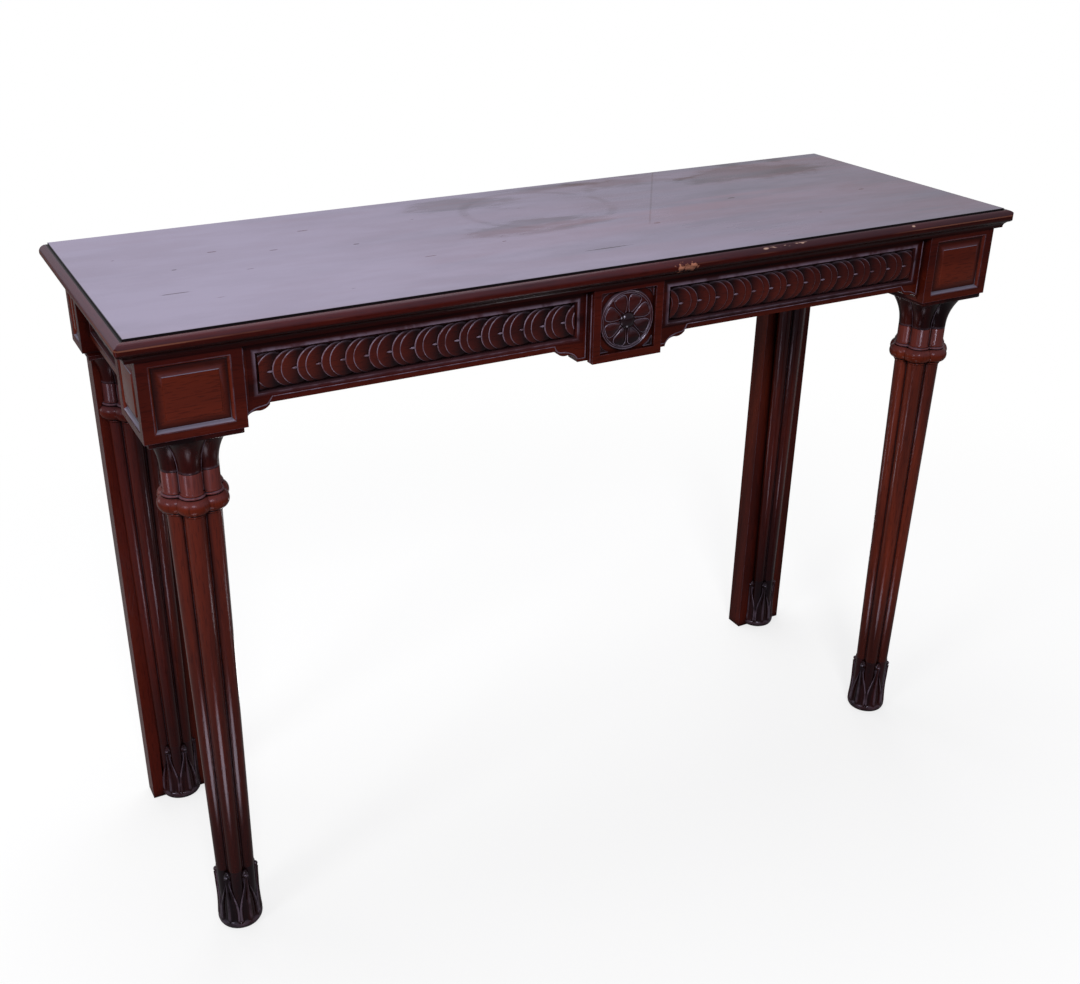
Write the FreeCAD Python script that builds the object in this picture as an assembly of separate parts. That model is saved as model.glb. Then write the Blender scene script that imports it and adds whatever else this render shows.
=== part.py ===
import FreeCAD, Part
import math
import os

# Pier table in mahogany, millimetres.
# X runs along the length, -Y is the front, +Z is up.
# The origin is on the floor, under the centre of the table's overall box.

V = FreeCAD.Vector
UP = V(0, 0, 1)
CUT_OVER = 1.0             # how far a cutting shape runs past what it cuts

# ---------------------------------------------------------------- overall size
LENGTH = 1221.0
DEPTH = 415.0
HEIGHT = 830.0

# ---------------------------------------------------------------- top
TOP_THICK = 26.0
NOSING_REACH = 11.5        # nosing beyond the edge of the board
NOSING_FILLET = 3.0        # flat between the field and the thumb of the nosing
FIELD_RISE = 2.0           # board above that flat
THUMB_UNDER = 8.0          # radius of the thumb below its tip
THUMB_TURN = 75.0          # degrees that this round turns through before the cove
NOSING_FOOT = 1.5          # nosing beyond the board at its lower edge
CORNER_RADIUS = 10.0
CORNER_SEAT = 0.9          # centre of that round inside the corner, in radii
SIDE_OVERHANG = 9.0        # edge of the board beyond the blocks
FRONT_OVERHANG = 3.2
BACK_OVERHANG = 26.5

# ---------------------------------------------------------------- corner blocks
BLOCK_HEIGHT = 93.0
BLOCK_WIDTH = 112.5
FRONT_BLOCK_DEPTH = 101.5
REAR_BLOCK_DEPTH = 60.0
PANEL_MARGIN_SIDE = 12.75  # face of the block beside its let-in panel
PANEL_MARGIN_LOW = 9.0
PANEL_MARGIN_TOP = 8.5
PANEL_DEPTH = 6.0          # recess that the panel is let into
PANEL_BEVEL_X = 12.0       # width of the bevel round the raised field
PANEL_BEVEL_Z = 13.5
PANEL_LIP = 1.5            # thickness of the panel at its outer edge
FIELD_SINK = 0.4           # raised field below the face of the block

# ---------------------------------------------------------------- rails
RAIL_SETBACK = 12.0        # face of a rail behind the face of the blocks
RAIL_THICK = 22.0
RAIL_HEIGHT = 74.0
TENON_LENGTH = 28.0
TENON_THICK = 9.0
TENON_SHOULDER = 9.0
MORTISE_CLEAR = 0.1

# ---------------------------------------------------------------- brackets
BRACKET_DROP = 18.0
BRACKET_REACH = 29.0
BRACKET_STEP = 4.0         # small upright step at the thin end
BRACKET_FLAT = 14.0        # level edge between the tablet and the coves beside it

# ---------------------------------------------------------------- frieze panels
FRIEZE_MARGIN = 7.0        # rail between the frame and the block or tablet
FRAME_WIDTH = 12.5
FRAME_WIDTH_LOW = 7.5
FRAME_TOP_MARGIN = 6.0     # rail above the frame
FRAME_LOW_MARGIN = 6.5     # rail below the frame
FRAME_RECESS = 9.0
FRAME_PROUD = 1.5
FRAME_INNER_LIP = 3.0      # height of the frame at its inner edge
COIN_PITCH = 27.8
COIN_TILT = 7.0            # degrees
COIN_PROUD = 0.8           # raised edge of a coin in front of the face of the rail
COIN_BED = 3.0             # ground that the coins are carved on

# ---------------------------------------------------------------- centre tablet
TABLET_WIDTH = 98.0
TABLET_DROP = 1.0          # tablet below the blocks
TABLET_WELL = 77.0         # side of the sunk square
TABLET_WELL_LOW = 10.0
TABLET_WELL_DEPTH = 6.0
ROSETTE_BED = 1.5
ROSETTE_RIM = 4.0
ROSETTE_RIM_HEIGHT = 4.0
ROSETTE_CLEAR = 0.5
PETALS = 8
PETAL_LENGTH = 20.0
PETAL_WIDTH = 16.0
PETAL_RISE = 3.5
BOSS_RADIUS = 11.0
BOSS_RISE = 7.0

# ---------------------------------------------------------------- legs
LOBES = 6
LOBE_SHARE = 0.36          # radius of a lobe over the radius of the cluster
LEG_TURN = 15.0            # azimuth of the first lobe of the left legs
FOOT_HEIGHT = 94.0
SHAFT_FOOT_RADIUS = 26.3
SHAFT_TOP_RADIUS = 33.3
COLLAR_RADIUS = 43.0
COLLAR_HEIGHT = 30.0
NECK_RADIUS = 35.0
NECK_HEIGHT = 24.0
CAPITAL_RADIUS = 50.0
CAPITAL_HEIGHT = 45.0
ABACUS_THICK = 6.0
ABACUS_INSET = 4.5
FOOT_RING_RADIUS = 28.5
FOOT_RING_HEIGHT = 14.0
LEAF_OUT = 28.0            # ridge of a leaf at its tip, from the axis of the leg
LEAF_ROOT_WIDTH = 25.0
LEAF_TIP_WIDTH = 7.0
LEAF_TIP_BELOW = 6.0       # tip of a leaf below the top of the foot
LEAF_DEPTH_SHARE = 0.6     # depth of a leaf's section over its width
SPIGOT_RADIUS = 11.0
FOOT_SPIGOT_RADIUS = 9.0
FOOT_SPIGOT_LENGTH = 40.0
BLOCK_SPIGOT_LENGTH = 40.0
SPIGOT_CLEAR = 0.1

# ---------------------------------------------------------------- rear legs
PILASTER_WIDTH = 86.0
PILASTER_THICK = 30.0
PILASTER_BACK = 1.5        # back of the pilaster in front of the back of the block
REAR_SINK_SHARE = 0.24     # axis of a cluster behind the face of the pilaster, over its radius
PILASTER_TENON_WIDTH = 50.0
PILASTER_TENON_THICK = 10.0
PILASTER_TENON_HEIGHT = 35.0

# ---------------------------------------------------------------- fixings
GLUE_BLOCK = 20.0
GLUE_BLOCK_LENGTH = 60.0
FRONT_GLUE_BLOCKS = 3
TOP_SCREW_RADIUS = 2.2
TOP_SCREW_HEAD_RADIUS = 4.5
TOP_SCREW_HEAD = 2.5
TOP_SCREW_BITE = 16.0
LEG_SCREW_RADIUS = 2.5
LEG_SCREW_HEAD_RADIUS = 5.0
LEG_SCREW_HEAD = 3.0
LEG_SCREW_BITE = 14.0
LEG_SCREW_HEIGHTS = (180.0, 500.0)
SCREW_SIDES = 8

# ---------------------------------------------------------------- derived places
BOARD_SIDE = LENGTH / 2 - NOSING_REACH
BOARD_FRONT = -DEPTH / 2 + NOSING_REACH
BOARD_BACK = DEPTH / 2
CARCASS_TOP = HEIGHT - TOP_THICK
BLOCK_LOW = CARCASS_TOP - BLOCK_HEIGHT
BLOCK_OUT = BOARD_SIDE - SIDE_OVERHANG
BLOCK_IN = BLOCK_OUT - BLOCK_WIDTH
BLOCK_X = (BLOCK_OUT + BLOCK_IN) / 2
FRONT_FACE = BOARD_FRONT + FRONT_OVERHANG
FRONT_BLOCK_BACK = FRONT_FACE + FRONT_BLOCK_DEPTH
BACK_FACE = BOARD_BACK - BACK_OVERHANG
REAR_BLOCK_FRONT = BACK_FACE - REAR_BLOCK_DEPTH
RAIL_LOW = CARCASS_TOP - RAIL_HEIGHT
RAIL_FACE = FRONT_FACE + RAIL_SETBACK
RAIL_BACK = RAIL_FACE + RAIL_THICK
END_FACE = BLOCK_OUT - RAIL_SETBACK
BACK_RAIL_FRONT = BACK_FACE - RAIL_THICK
LEG_Y = (FRONT_FACE + FRONT_BLOCK_BACK) / 2
PILASTER_Y = BACK_FACE - PILASTER_BACK - PILASTER_THICK
TABLET_LOW = BLOCK_LOW - TABLET_DROP
CAPITAL_TOP = BLOCK_LOW - ABACUS_THICK
CAPITAL_LOW = CAPITAL_TOP - CAPITAL_HEIGHT
COLLAR_LOW = CAPITAL_LOW - NECK_HEIGHT - COLLAR_HEIGHT

NODES = {}


def box(x0, x1, y0, y1, z0, z1):
    return Part.makeBox(x1 - x0, y1 - y0, z1 - z0, V(x0, y0, z0))


def wire_face(edges):
    return Part.Face(Part.Wire(edges))


def flat_sided(rings):
    """Solid with flat faces through rings of points that are all the same shape."""
    faces = [Part.Face(Part.makePolygon(ring + ring[:1])) for ring in (rings[0], rings[-1])]
    for low, high in zip(rings, rings[1:]):
        for i in range(len(low)):
            j = (i + 1) % len(low)
            faces.append(Part.Face(Part.makePolygon([low[i], low[j], high[j], high[i], low[i]])))
    shell = Part.Shell(faces)
    shell.sewShape()
    solid = Part.Solid(shell)
    if solid.Volume < 0:
        solid.reverse()
    return solid


def mirrored(shape):
    """The same piece on the other side of the table's middle plane."""
    return shape.mirror(V(0, 0, 0), V(1, 0, 0))


def put_pair(name, left):
    NODES[name + "_left"] = left
    NODES[name + "_right"] = mirrored(left)


# ================================================================ top
def nosing_profile():
    """Section of the nosing as (out, up) points: flat, thumb, cove and foot."""
    flat_z = HEIGHT - FIELD_RISE
    thumb = NOSING_REACH - NOSING_FILLET
    tip_z = flat_z - thumb
    foot_z = CARCASS_TOP + NOSING_FOOT

    def at(out, up):
        return V(out, 0, up)

    def on_round(centre_out, radius, degrees):
        angle = math.radians(degrees)
        return at(centre_out + radius * math.cos(angle), tip_z + radius * math.sin(angle))

    under = NOSING_REACH - THUMB_UNDER
    tip = at(NOSING_REACH, tip_z)
    cove_top = on_round(under, THUMB_UNDER, -THUMB_TURN)
    cove_mid = at((cove_top.x + NOSING_FOOT) / 2 - 0.8, (cove_top.z + foot_z) / 2 + 0.4)
    return [
        Part.LineSegment(at(0, CARCASS_TOP), at(0, flat_z)).toShape(),
        Part.LineSegment(at(0, flat_z), at(NOSING_FILLET, flat_z)).toShape(),
        Part.Arc(at(NOSING_FILLET, flat_z), on_round(NOSING_FILLET, thumb, 45), tip).toShape(),
        Part.Arc(tip, on_round(under, THUMB_UNDER, -THUMB_TURN / 2), cove_top).toShape(),
        Part.Arc(cove_top, cove_mid, at(NOSING_FOOT, foot_z)).toShape(),
        Part.LineSegment(at(NOSING_FOOT, foot_z), at(NOSING_FOOT, CARCASS_TOP)).toShape(),
        Part.LineSegment(at(NOSING_FOOT, CARCASS_TOP), at(0, CARCASS_TOP)).toShape(),
    ]


def corner_tool(side):
    """What comes off a front corner of the top: a square corner less its quarter round."""
    seat = CORNER_RADIUS * CORNER_SEAT
    x = side * (LENGTH / 2 - seat)
    y = -DEPTH / 2 + seat
    out = CORNER_RADIUS + CUT_OVER
    square = box(min(x, x + side * out), max(x, x + side * out), y - out, y,
                 CARCASS_TOP - CUT_OVER, HEIGHT + CUT_OVER)
    round_ = Part.makeCylinder(CORNER_RADIUS, TOP_THICK + 4 * CUT_OVER, V(x, y, CARCASS_TOP - 2 * CUT_OVER))
    return square.cut(round_)


def plan_prism(points):
    low = [V(x, y, CARCASS_TOP) for x, y in points]
    return Part.Face(Part.makePolygon(low + low[:1])).extrude(UP * TOP_THICK)


def make_top():
    board = box(-BOARD_SIDE, BOARD_SIDE, BOARD_FRONT, BOARD_BACK, CARCASS_TOP, HEIGHT)
    section = wire_face(nosing_profile())
    far_x = LENGTH / 2 + CUT_OVER
    far_y = -DEPTH / 2 - CUT_OVER

    front = section.copy()
    front.rotate(V(0, 0, 0), UP, -90)
    front.translate(V(-far_x, BOARD_FRONT, 0))
    front = front.extrude(V(2 * far_x, 0, 0))
    mitre = plan_prism([(-far_x, far_y), (far_x, far_y), (BOARD_SIDE, BOARD_FRONT), (-BOARD_SIDE, BOARD_FRONT)])
    front = front.common(mitre).cut([corner_tool(-1), corner_tool(1)])

    left = section.copy()
    left.rotate(V(0, 0, 0), UP, 180)
    left.translate(V(-BOARD_SIDE, far_y, 0))
    left = left.extrude(V(0, BOARD_BACK - far_y, 0))
    mitre = plan_prism([(-far_x, far_y), (-BOARD_SIDE, BOARD_FRONT),
                        (-BOARD_SIDE, BOARD_BACK), (-far_x, BOARD_BACK)])
    left = left.common(mitre).cut(corner_tool(-1))
    return board, front, left


# ================================================================ fielded panels
def fielded_panel(width, height):
    """Panel with its back at y=PANEL_DEPTH and its face towards -Y, low corner at the origin."""
    plate = box(0, width, PANEL_DEPTH - PANEL_LIP, PANEL_DEPTH, 0, height)
    right, top = width - PANEL_BEVEL_X, height - PANEL_BEVEL_Z
    bevel = Part.makeWedge(PANEL_BEVEL_X, FIELD_SINK, PANEL_BEVEL_Z, 0, 0,
                           right, PANEL_DEPTH - PANEL_LIP, top, height, width)
    return plate.fuse(bevel).removeSplitter()


PANEL_HEIGHT = BLOCK_HEIGHT - PANEL_MARGIN_LOW - PANEL_MARGIN_TOP
PANEL_LOW = BLOCK_LOW + PANEL_MARGIN_LOW


def front_panel():
    panel = fielded_panel(BLOCK_WIDTH - 2 * PANEL_MARGIN_SIDE, PANEL_HEIGHT)
    panel.translate(V(-BLOCK_OUT + PANEL_MARGIN_SIDE, FRONT_FACE, PANEL_LOW))
    return panel


def end_panel(y_front, y_back):
    panel = fielded_panel(y_back - y_front - 2 * PANEL_MARGIN_SIDE, PANEL_HEIGHT)
    panel.rotate(V(0, 0, 0), UP, -90)
    panel.translate(V(-BLOCK_OUT, y_back - PANEL_MARGIN_SIDE, PANEL_LOW))
    return panel


# ================================================================ rails and their tenons
TENON_LOW = RAIL_LOW + TENON_SHOULDER
TENON_HIGH = CARCASS_TOP - TENON_SHOULDER


def rail_along_x(y0, clear=0.0):
    y_mid = y0 + RAIL_THICK / 2
    reach = BLOCK_IN + TENON_LENGTH + clear
    half = TENON_THICK / 2 + clear
    tenon = box(-reach, reach, y_mid - half, y_mid + half, TENON_LOW - clear, TENON_HIGH + clear)
    return box(-BLOCK_IN, BLOCK_IN, y0, y0 + RAIL_THICK, RAIL_LOW, CARCASS_TOP), tenon


def rail_along_y(clear=0.0):
    x0 = -END_FACE
    x_mid = x0 + RAIL_THICK / 2
    half = TENON_THICK / 2 + clear
    reach = TENON_LENGTH + clear
    tenon = box(x_mid - half, x_mid + half, FRONT_BLOCK_BACK - reach, REAR_BLOCK_FRONT + reach,
                TENON_LOW - clear, TENON_HIGH + clear)
    rail = box(x0, x0 + RAIL_THICK, FRONT_BLOCK_BACK, REAR_BLOCK_FRONT, RAIL_LOW, CARCASS_TOP)
    return rail, tenon


# ================================================================ frieze panels
FRAME_LOW = RAIL_LOW + FRAME_LOW_MARGIN
FRAME_HIGH = CARCASS_TOP - FRAME_TOP_MARGIN
FIELD_LOW = FRAME_LOW + FRAME_WIDTH_LOW
FIELD_HIGH = FRAME_HIGH - FRAME_WIDTH


def frieze_frame(width):
    """Moulded frame, outer low corner at the origin, rail face on y=0, facing -Y."""
    high = FRAME_HIGH - FRAME_LOW
    field_z0 = FRAME_WIDTH_LOW
    field_z1 = high - FRAME_WIDTH
    body = box(0, width, -FRAME_PROUD, FRAME_RECESS, 0, high)
    back_y = FRAME_RECESS - FRAME_INNER_LIP
    step = FRAME_WIDTH * 0.3
    slope = Part.makeWedge(step, -FRAME_PROUD, step, field_z0, FRAME_WIDTH,
                           width - step, back_y, high - step, field_z1, width - FRAME_WIDTH)
    opening = box(FRAME_WIDTH, width - FRAME_WIDTH, back_y - 1, FRAME_RECESS + 1, field_z0, field_z1)
    return body.cut(slope).cut(opening)


def coin_field(width):
    """Row of coins, each lapping the next one outward (-X), low corner at the origin, facing -Y."""
    high = FIELD_HIGH - FIELD_LOW
    ground = box(0, width, FRAME_RECESS - COIN_BED, FRAME_RECESS, 0, high)
    count = max(2, round(width / COIN_PITCH))
    pitch = width / count
    radius = high / 2
    slope = Part.makeBox(4 * radius, 4 * radius, 4 * radius, V(-2 * radius, -4 * radius, -2 * radius))
    slope.rotate(V(0, 0, 0), UP, COIN_TILT)
    slope.translate(V(0, radius * math.sin(math.radians(COIN_TILT)) - COIN_PROUD, 0))
    drum = Part.makeCylinder(radius, 2 * FRAME_RECESS, V(0, FRAME_RECESS, 0), V(0, -1, 0)).cut(slope)
    coins = []
    for i in range(count + 1):
        coin = drum.copy()
        coin.translate(V(width - (i + 0.5) * pitch + radius, 0, radius))
        coins.append(coin)
    carved = ground.fuse(coins)
    return carved.common(box(0, width, -FRAME_PROUD, FRAME_RECESS, 0, high)).removeSplitter()


def frieze_set(width):
    frame = frieze_frame(width)
    field = coin_field(width - 2 * FRAME_WIDTH)
    field.translate(V(FRAME_WIDTH, 0, FRAME_WIDTH_LOW))
    return frame, field


# ================================================================ brackets
def bracket_edge(x_thick, x_thin):
    """Lower edge of a bracket from its deep end to its thin end: cove, then round."""
    sign = 1 if x_thin > x_thick else -1
    reach = abs(x_thin - x_thick)
    low = RAIL_LOW - BRACKET_DROP
    mid = V(x_thick + sign * reach * 0.5, 0, RAIL_LOW - BRACKET_DROP * 0.4)
    end = V(x_thin, 0, RAIL_LOW - BRACKET_STEP * 0.5)
    start = V(x_thick, 0, low)
    cove = Part.Arc(start, V(x_thick + sign * reach * 0.13, 0, low + BRACKET_DROP * 0.4), mid)
    round_ = Part.Arc(mid, V(x_thick + sign * reach * 0.82, 0, RAIL_LOW - BRACKET_DROP * 0.34), end)
    return [cove.toShape(), round_.toShape()], start, end


def side_bracket():
    edges, start, end = bracket_edge(-BLOCK_IN, -BLOCK_IN + BRACKET_REACH)
    top_in = V(end.x, 0, RAIL_LOW)
    top_out = V(start.x, 0, RAIL_LOW)
    edges += [Part.LineSegment(end, top_in).toShape(),
              Part.LineSegment(top_in, top_out).toShape(),
              Part.LineSegment(top_out, start).toShape()]
    face = wire_face(Part.sortEdges(edges)[0])
    face.translate(V(0, RAIL_FACE, 0))
    return face.extrude(V(0, RAIL_THICK, 0))


def centre_bracket():
    flat = TABLET_WIDTH / 2 + BRACKET_FLAT
    left, l_start, l_end = bracket_edge(-flat, -flat - BRACKET_REACH)
    right, r_start, r_end = bracket_edge(flat, flat + BRACKET_REACH)
    l_top = V(l_end.x, 0, RAIL_LOW)
    r_top = V(r_end.x, 0, RAIL_LOW)
    edges = left + right + [Part.LineSegment(l_start, r_start).toShape(),
                            Part.LineSegment(l_end, l_top).toShape(),
                            Part.LineSegment(l_top, r_top).toShape(),
                            Part.LineSegment(r_top, r_end).toShape()]
    face = wire_face(Part.sortEdges(edges)[0])
    face.translate(V(0, RAIL_FACE, 0))
    return face.extrude(V(0, RAIL_THICK, 0))


# ================================================================ centre tablet
WELL_LOW = TABLET_LOW + TABLET_WELL_LOW
WELL_MID = WELL_LOW + TABLET_WELL / 2


def make_tablet():
    half = TABLET_WIDTH / 2
    well = TABLET_WELL / 2
    tablet = box(-half, half, FRONT_FACE, RAIL_FACE, TABLET_LOW, CARCASS_TOP)
    sunk = box(-well, well, FRONT_FACE - 1, FRONT_FACE + TABLET_WELL_DEPTH, WELL_LOW, WELL_LOW + TABLET_WELL)
    return tablet.cut(sunk)


def petal_blank(start):
    """Petal along +X that widens outward, ridged towards -Y, its back on y=0."""
    rings = []
    for x, share in ((start, 0.3), (start + PETAL_LENGTH * 0.7, 1.0), (start + PETAL_LENGTH, 0.6)):
        half = PETAL_WIDTH / 2 * share
        rise = PETAL_RISE * share
        rings.append([V(x, share, -half), V(x, share, half), V(x, -rise * 0.7, half * 0.5), V(x, -rise, 0),
                      V(x, -rise * 0.7, -half * 0.5)])
    return flat_sided(rings)


def make_rosette():
    """Dished disc with a raised rim and a ring of petals, and the boss at its centre."""
    floor_y = FRONT_FACE + TABLET_WELL_DEPTH
    centre = V(0, floor_y, WELL_MID)
    out = V(0, -1, 0)
    radius = TABLET_WELL / 2 - ROSETTE_CLEAR
    disc = Part.makeCylinder(radius, ROSETTE_BED, centre, out)
    rim = Part.makeCylinder(radius, ROSETTE_RIM_HEIGHT, centre, out)
    rim = rim.cut(Part.makeCylinder(radius - ROSETTE_RIM, ROSETTE_RIM_HEIGHT + 1, centre, out))
    rosette = disc.fuse(rim)
    petal_start = BOSS_RADIUS - 2
    for i in range(PETALS):
        petal = petal_blank(petal_start)
        petal.rotate(V(0, 0, 0), V(0, 1, 0), 360.0 / PETALS * (i + 0.5))
        petal.translate(centre - V(0, ROSETTE_BED, 0))
        rosette = rosette.fuse(petal)
    front_half = box(-radius, radius, FRONT_FACE, floor_y, WELL_LOW, WELL_LOW + TABLET_WELL)
    rosette = rosette.common(front_half)
    seat = Part.makeCylinder(BOSS_RADIUS, BOSS_RISE, centre - V(0, ROSETTE_BED, 0), out)
    rosette = rosette.cut(seat)

    boss = turned([(0, BOSS_RADIUS), (BOSS_RISE * 0.6, BOSS_RADIUS * 0.8), (BOSS_RISE, BOSS_RADIUS * 0.3)])
    boss.rotate(V(0, 0, 0), V(1, 0, 0), 90)
    boss.translate(centre - V(0, ROSETTE_BED, 0))
    return rosette, boss


# ================================================================ legs
def lobe_radius(cluster):
    return cluster * LOBE_SHARE


def ring_radius(cluster):
    """Distance of the centres of the lobes from the axis of the cluster."""
    return cluster * (1 - LOBE_SHARE)


def bore(z0, z1, radius):
    return Part.makeCylinder(radius, z1 - z0, V(0, 0, z0))


def round_the_ring(lobe):
    copies = []
    for i in range(LOBES):
        copy = lobe.copy()
        copy.rotate(V(0, 0, 0), UP, LEG_TURN + i * 360.0 / LOBES)
        copies.append(copy)
    return copies


def turned(stations):
    """Solid of revolution about Z through (height, radius) stations."""
    first, last = stations[0][0], stations[-1][0]
    points = [V(0, 0, first)] + [V(r, 0, z) for z, r in stations] + [V(0, 0, last), V(0, 0, first)]
    return Part.Face(Part.makePolygon(points)).revolve(V(0, 0, 0), UP, 360)


def lobe_arc(z, cluster, crest, back):
    """Arc of one lobe between its grooves, cut off where it passes behind y=back."""
    half = math.pi / LOBES
    ring, lobe = ring_radius(cluster), lobe_radius(cluster)
    groove = ring * math.cos(half) + math.sqrt(lobe ** 2 - (ring * math.sin(half)) ** 2)
    span = math.atan2(groove * math.sin(half), groove * math.cos(half) - ring)
    centre = V(ring * math.cos(crest), ring * math.sin(crest), z)
    if centre.y - lobe > back:
        return None
    start, end = crest - span, crest + span
    if centre.y + lobe > back:
        turn = math.asin((back - centre.y) / lobe)
        start, end = max(start, math.pi - turn), min(end, 2 * math.pi + turn)
    points = [centre + V(lobe * math.cos(a), lobe * math.sin(a), 0) for a in (start, (start + end) / 2, end)]
    return Part.Arc(*points).toShape()


def lobed_outline(z, cluster, back=None):
    """Outline of a cluster at one height, cut off straight at y=back if that is given."""
    crests = [math.radians(LEG_TURN) + 2 * math.pi * i / LOBES for i in range(LOBES)]
    arcs = [lobe_arc(z, cluster, crest, cluster if back is None else back) for crest in crests]
    arcs = [arc for arc in arcs if arc]
    if back is not None:
        arcs.append(Part.LineSegment(arcs[-1].lastVertex().Point, arcs[0].firstVertex().Point).toShape())
    return Part.Wire(arcs)


def planted_outline(z, cluster):
    """Front of a cluster's outline with its straight back on y=0."""
    sink = cluster * REAR_SINK_SHARE
    outline = lobed_outline(z, cluster, -sink)
    outline.translate(V(0, sink, 0))
    return outline


def upright_cluster(stations, ring):
    """Cluster of lobes on upright axes, each turned to the same profile, round a common core."""
    lobe = turned(stations)
    lobe.translate(V(ring, 0, 0))
    return bore(stations[0][0], stations[-1][0], ring).fuse(round_the_ring(lobe))


def make_leaf():
    """Ridged leaf on the +X side of the foot, from the base ring up to its tip."""
    tip_z = FOOT_HEIGHT - LEAF_TIP_BELOW
    rings = []
    for z, out, width in ((FOOT_RING_HEIGHT * 0.4, FOOT_RING_RADIUS - 1, LEAF_ROOT_WIDTH),
                          (tip_z * 0.8, LEAF_OUT - 1, LEAF_TIP_WIDTH), (tip_z, LEAF_OUT, LEAF_TIP_WIDTH * 0.9)):
        half = width / 2
        deep = width * LEAF_DEPTH_SHARE
        rings.append([V(out, 0, z), V(out - deep * 0.35, half, z), V(out - deep, half * 0.6, z),
                      V(out - deep, -half * 0.6, z), V(out - deep * 0.35, -half, z)])
    return flat_sided(rings)


def make_foot():
    """Round base ring with a leaf rising from it in every groove of the cluster."""
    ring = turned([(0, FOOT_RING_RADIUS), (FOOT_RING_HEIGHT * 0.7, FOOT_RING_RADIUS),
                   (FOOT_RING_HEIGHT, FOOT_RING_RADIUS - FOOT_RING_HEIGHT * 0.3)])
    core_low = FOOT_RING_HEIGHT * 0.5
    core = Part.Face(lobed_outline(core_low, SHAFT_FOOT_RADIUS)).extrude(UP * (FOOT_HEIGHT - core_low))
    leaf = make_leaf()
    leaf.rotate(V(0, 0, 0), UP, 180.0 / LOBES)
    foot = ring.fuse([core] + round_the_ring(leaf))
    return foot.cut(bore(FOOT_HEIGHT - FOOT_SPIGOT_LENGTH - 1, FOOT_HEIGHT, FOOT_SPIGOT_RADIUS + SPIGOT_CLEAR))


def make_leg(outline):
    """Foot, shaft, collar and capital about the leg's own axis."""
    shaft = Part.makeLoft([outline(FOOT_HEIGHT, SHAFT_FOOT_RADIUS), outline(COLLAR_LOW, SHAFT_TOP_RADIUS)],
                          True, True)
    ring = ring_radius(NECK_RADIUS)
    neck = lobe_radius(NECK_RADIUS)
    bead = COLLAR_RADIUS - ring
    collar = upright_cluster([(COLLAR_LOW, neck - 1), (COLLAR_LOW + COLLAR_HEIGHT * 0.3, bead),
                              (COLLAR_LOW + COLLAR_HEIGHT * 0.6, bead),
                              (COLLAR_LOW + COLLAR_HEIGHT * 0.9, neck), (CAPITAL_LOW, neck)], ring)
    flare = CAPITAL_RADIUS - NECK_RADIUS
    bell = upright_cluster([(CAPITAL_LOW, neck), (CAPITAL_LOW + CAPITAL_HEIGHT * 0.5, neck + flare * 0.2),
                            (CAPITAL_TOP, neck + flare)], ring)
    return {"foot": make_foot(), "shaft": shaft, "collar": collar, "capital": bell}


def abacus(depth_front, depth_back):
    half = BLOCK_WIDTH / 2 - ABACUS_INSET
    return box(-half, half, -depth_front, depth_back, BLOCK_LOW - ABACUS_THICK, BLOCK_LOW)


def front_leg():
    leg = make_leg(lobed_outline)
    leg["shaft"] = leg["shaft"].fuse([bore(FOOT_HEIGHT - FOOT_SPIGOT_LENGTH, FOOT_HEIGHT, FOOT_SPIGOT_RADIUS),
                                      bore(COLLAR_LOW, BLOCK_LOW + BLOCK_SPIGOT_LENGTH, SPIGOT_RADIUS)])
    half = FRONT_BLOCK_DEPTH / 2 - ABACUS_INSET
    leg["capital"] = leg["capital"].fuse(abacus(half, half))
    shaft_hole = bore(COLLAR_LOW, BLOCK_LOW, SPIGOT_RADIUS + SPIGOT_CLEAR)
    for name in ("collar", "capital"):
        leg[name] = leg[name].cut(shaft_hole)
    for piece in leg.values():
        piece.translate(V(-BLOCK_X, LEG_Y, 0))
    return leg


def rear_leg():
    """Front part of the same cluster, planted on the face of the pilaster."""
    leg = make_leg(planted_outline)
    sink = SHAFT_TOP_RADIUS * REAR_SINK_SHARE
    leg["foot"].translate(V(0, SHAFT_FOOT_RADIUS * REAR_SINK_SHARE, 0))
    leg["collar"].translate(V(0, sink, 0))
    leg["capital"].translate(V(0, sink, 0))
    leg["capital"] = leg["capital"].fuse(abacus(PILASTER_Y - REAR_BLOCK_FRONT - ABACUS_INSET, 0))
    reach = BLOCK_WIDTH
    kept = box(-reach, reach, -reach, 0, 0, BLOCK_LOW)
    for name in leg:
        if name != "shaft":
            leg[name] = leg[name].common(kept)
        leg[name].translate(V(-BLOCK_X, PILASTER_Y, 0))
    return leg


def make_pilaster(clear=0.0):
    half = PILASTER_WIDTH / 2
    back = PILASTER_Y + PILASTER_THICK
    board = box(-BLOCK_X - half, -BLOCK_X + half, PILASTER_Y, back, 0, BLOCK_LOW)
    t_half = PILASTER_TENON_WIDTH / 2 + clear
    mid = PILASTER_Y + PILASTER_THICK / 2
    thick = PILASTER_TENON_THICK / 2 + clear
    tenon = box(-BLOCK_X - t_half, -BLOCK_X + t_half, mid - thick, mid + thick,
                BLOCK_LOW, BLOCK_LOW + PILASTER_TENON_HEIGHT + clear)
    return board, tenon


# ================================================================ fixings
def wood_screw(length, radius, head_radius, head):
    """Screw along +Z with its tip at the origin and its countersunk head on top."""
    rings = []
    for z, r in ((0, radius), (length - head, radius), (length, head_radius)):
        rings.append([V(r * math.cos(a), r * math.sin(a), z)
                      for a in (2 * math.pi * i / SCREW_SIDES for i in range(SCREW_SIDES))])
    return flat_sided(rings)


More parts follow.
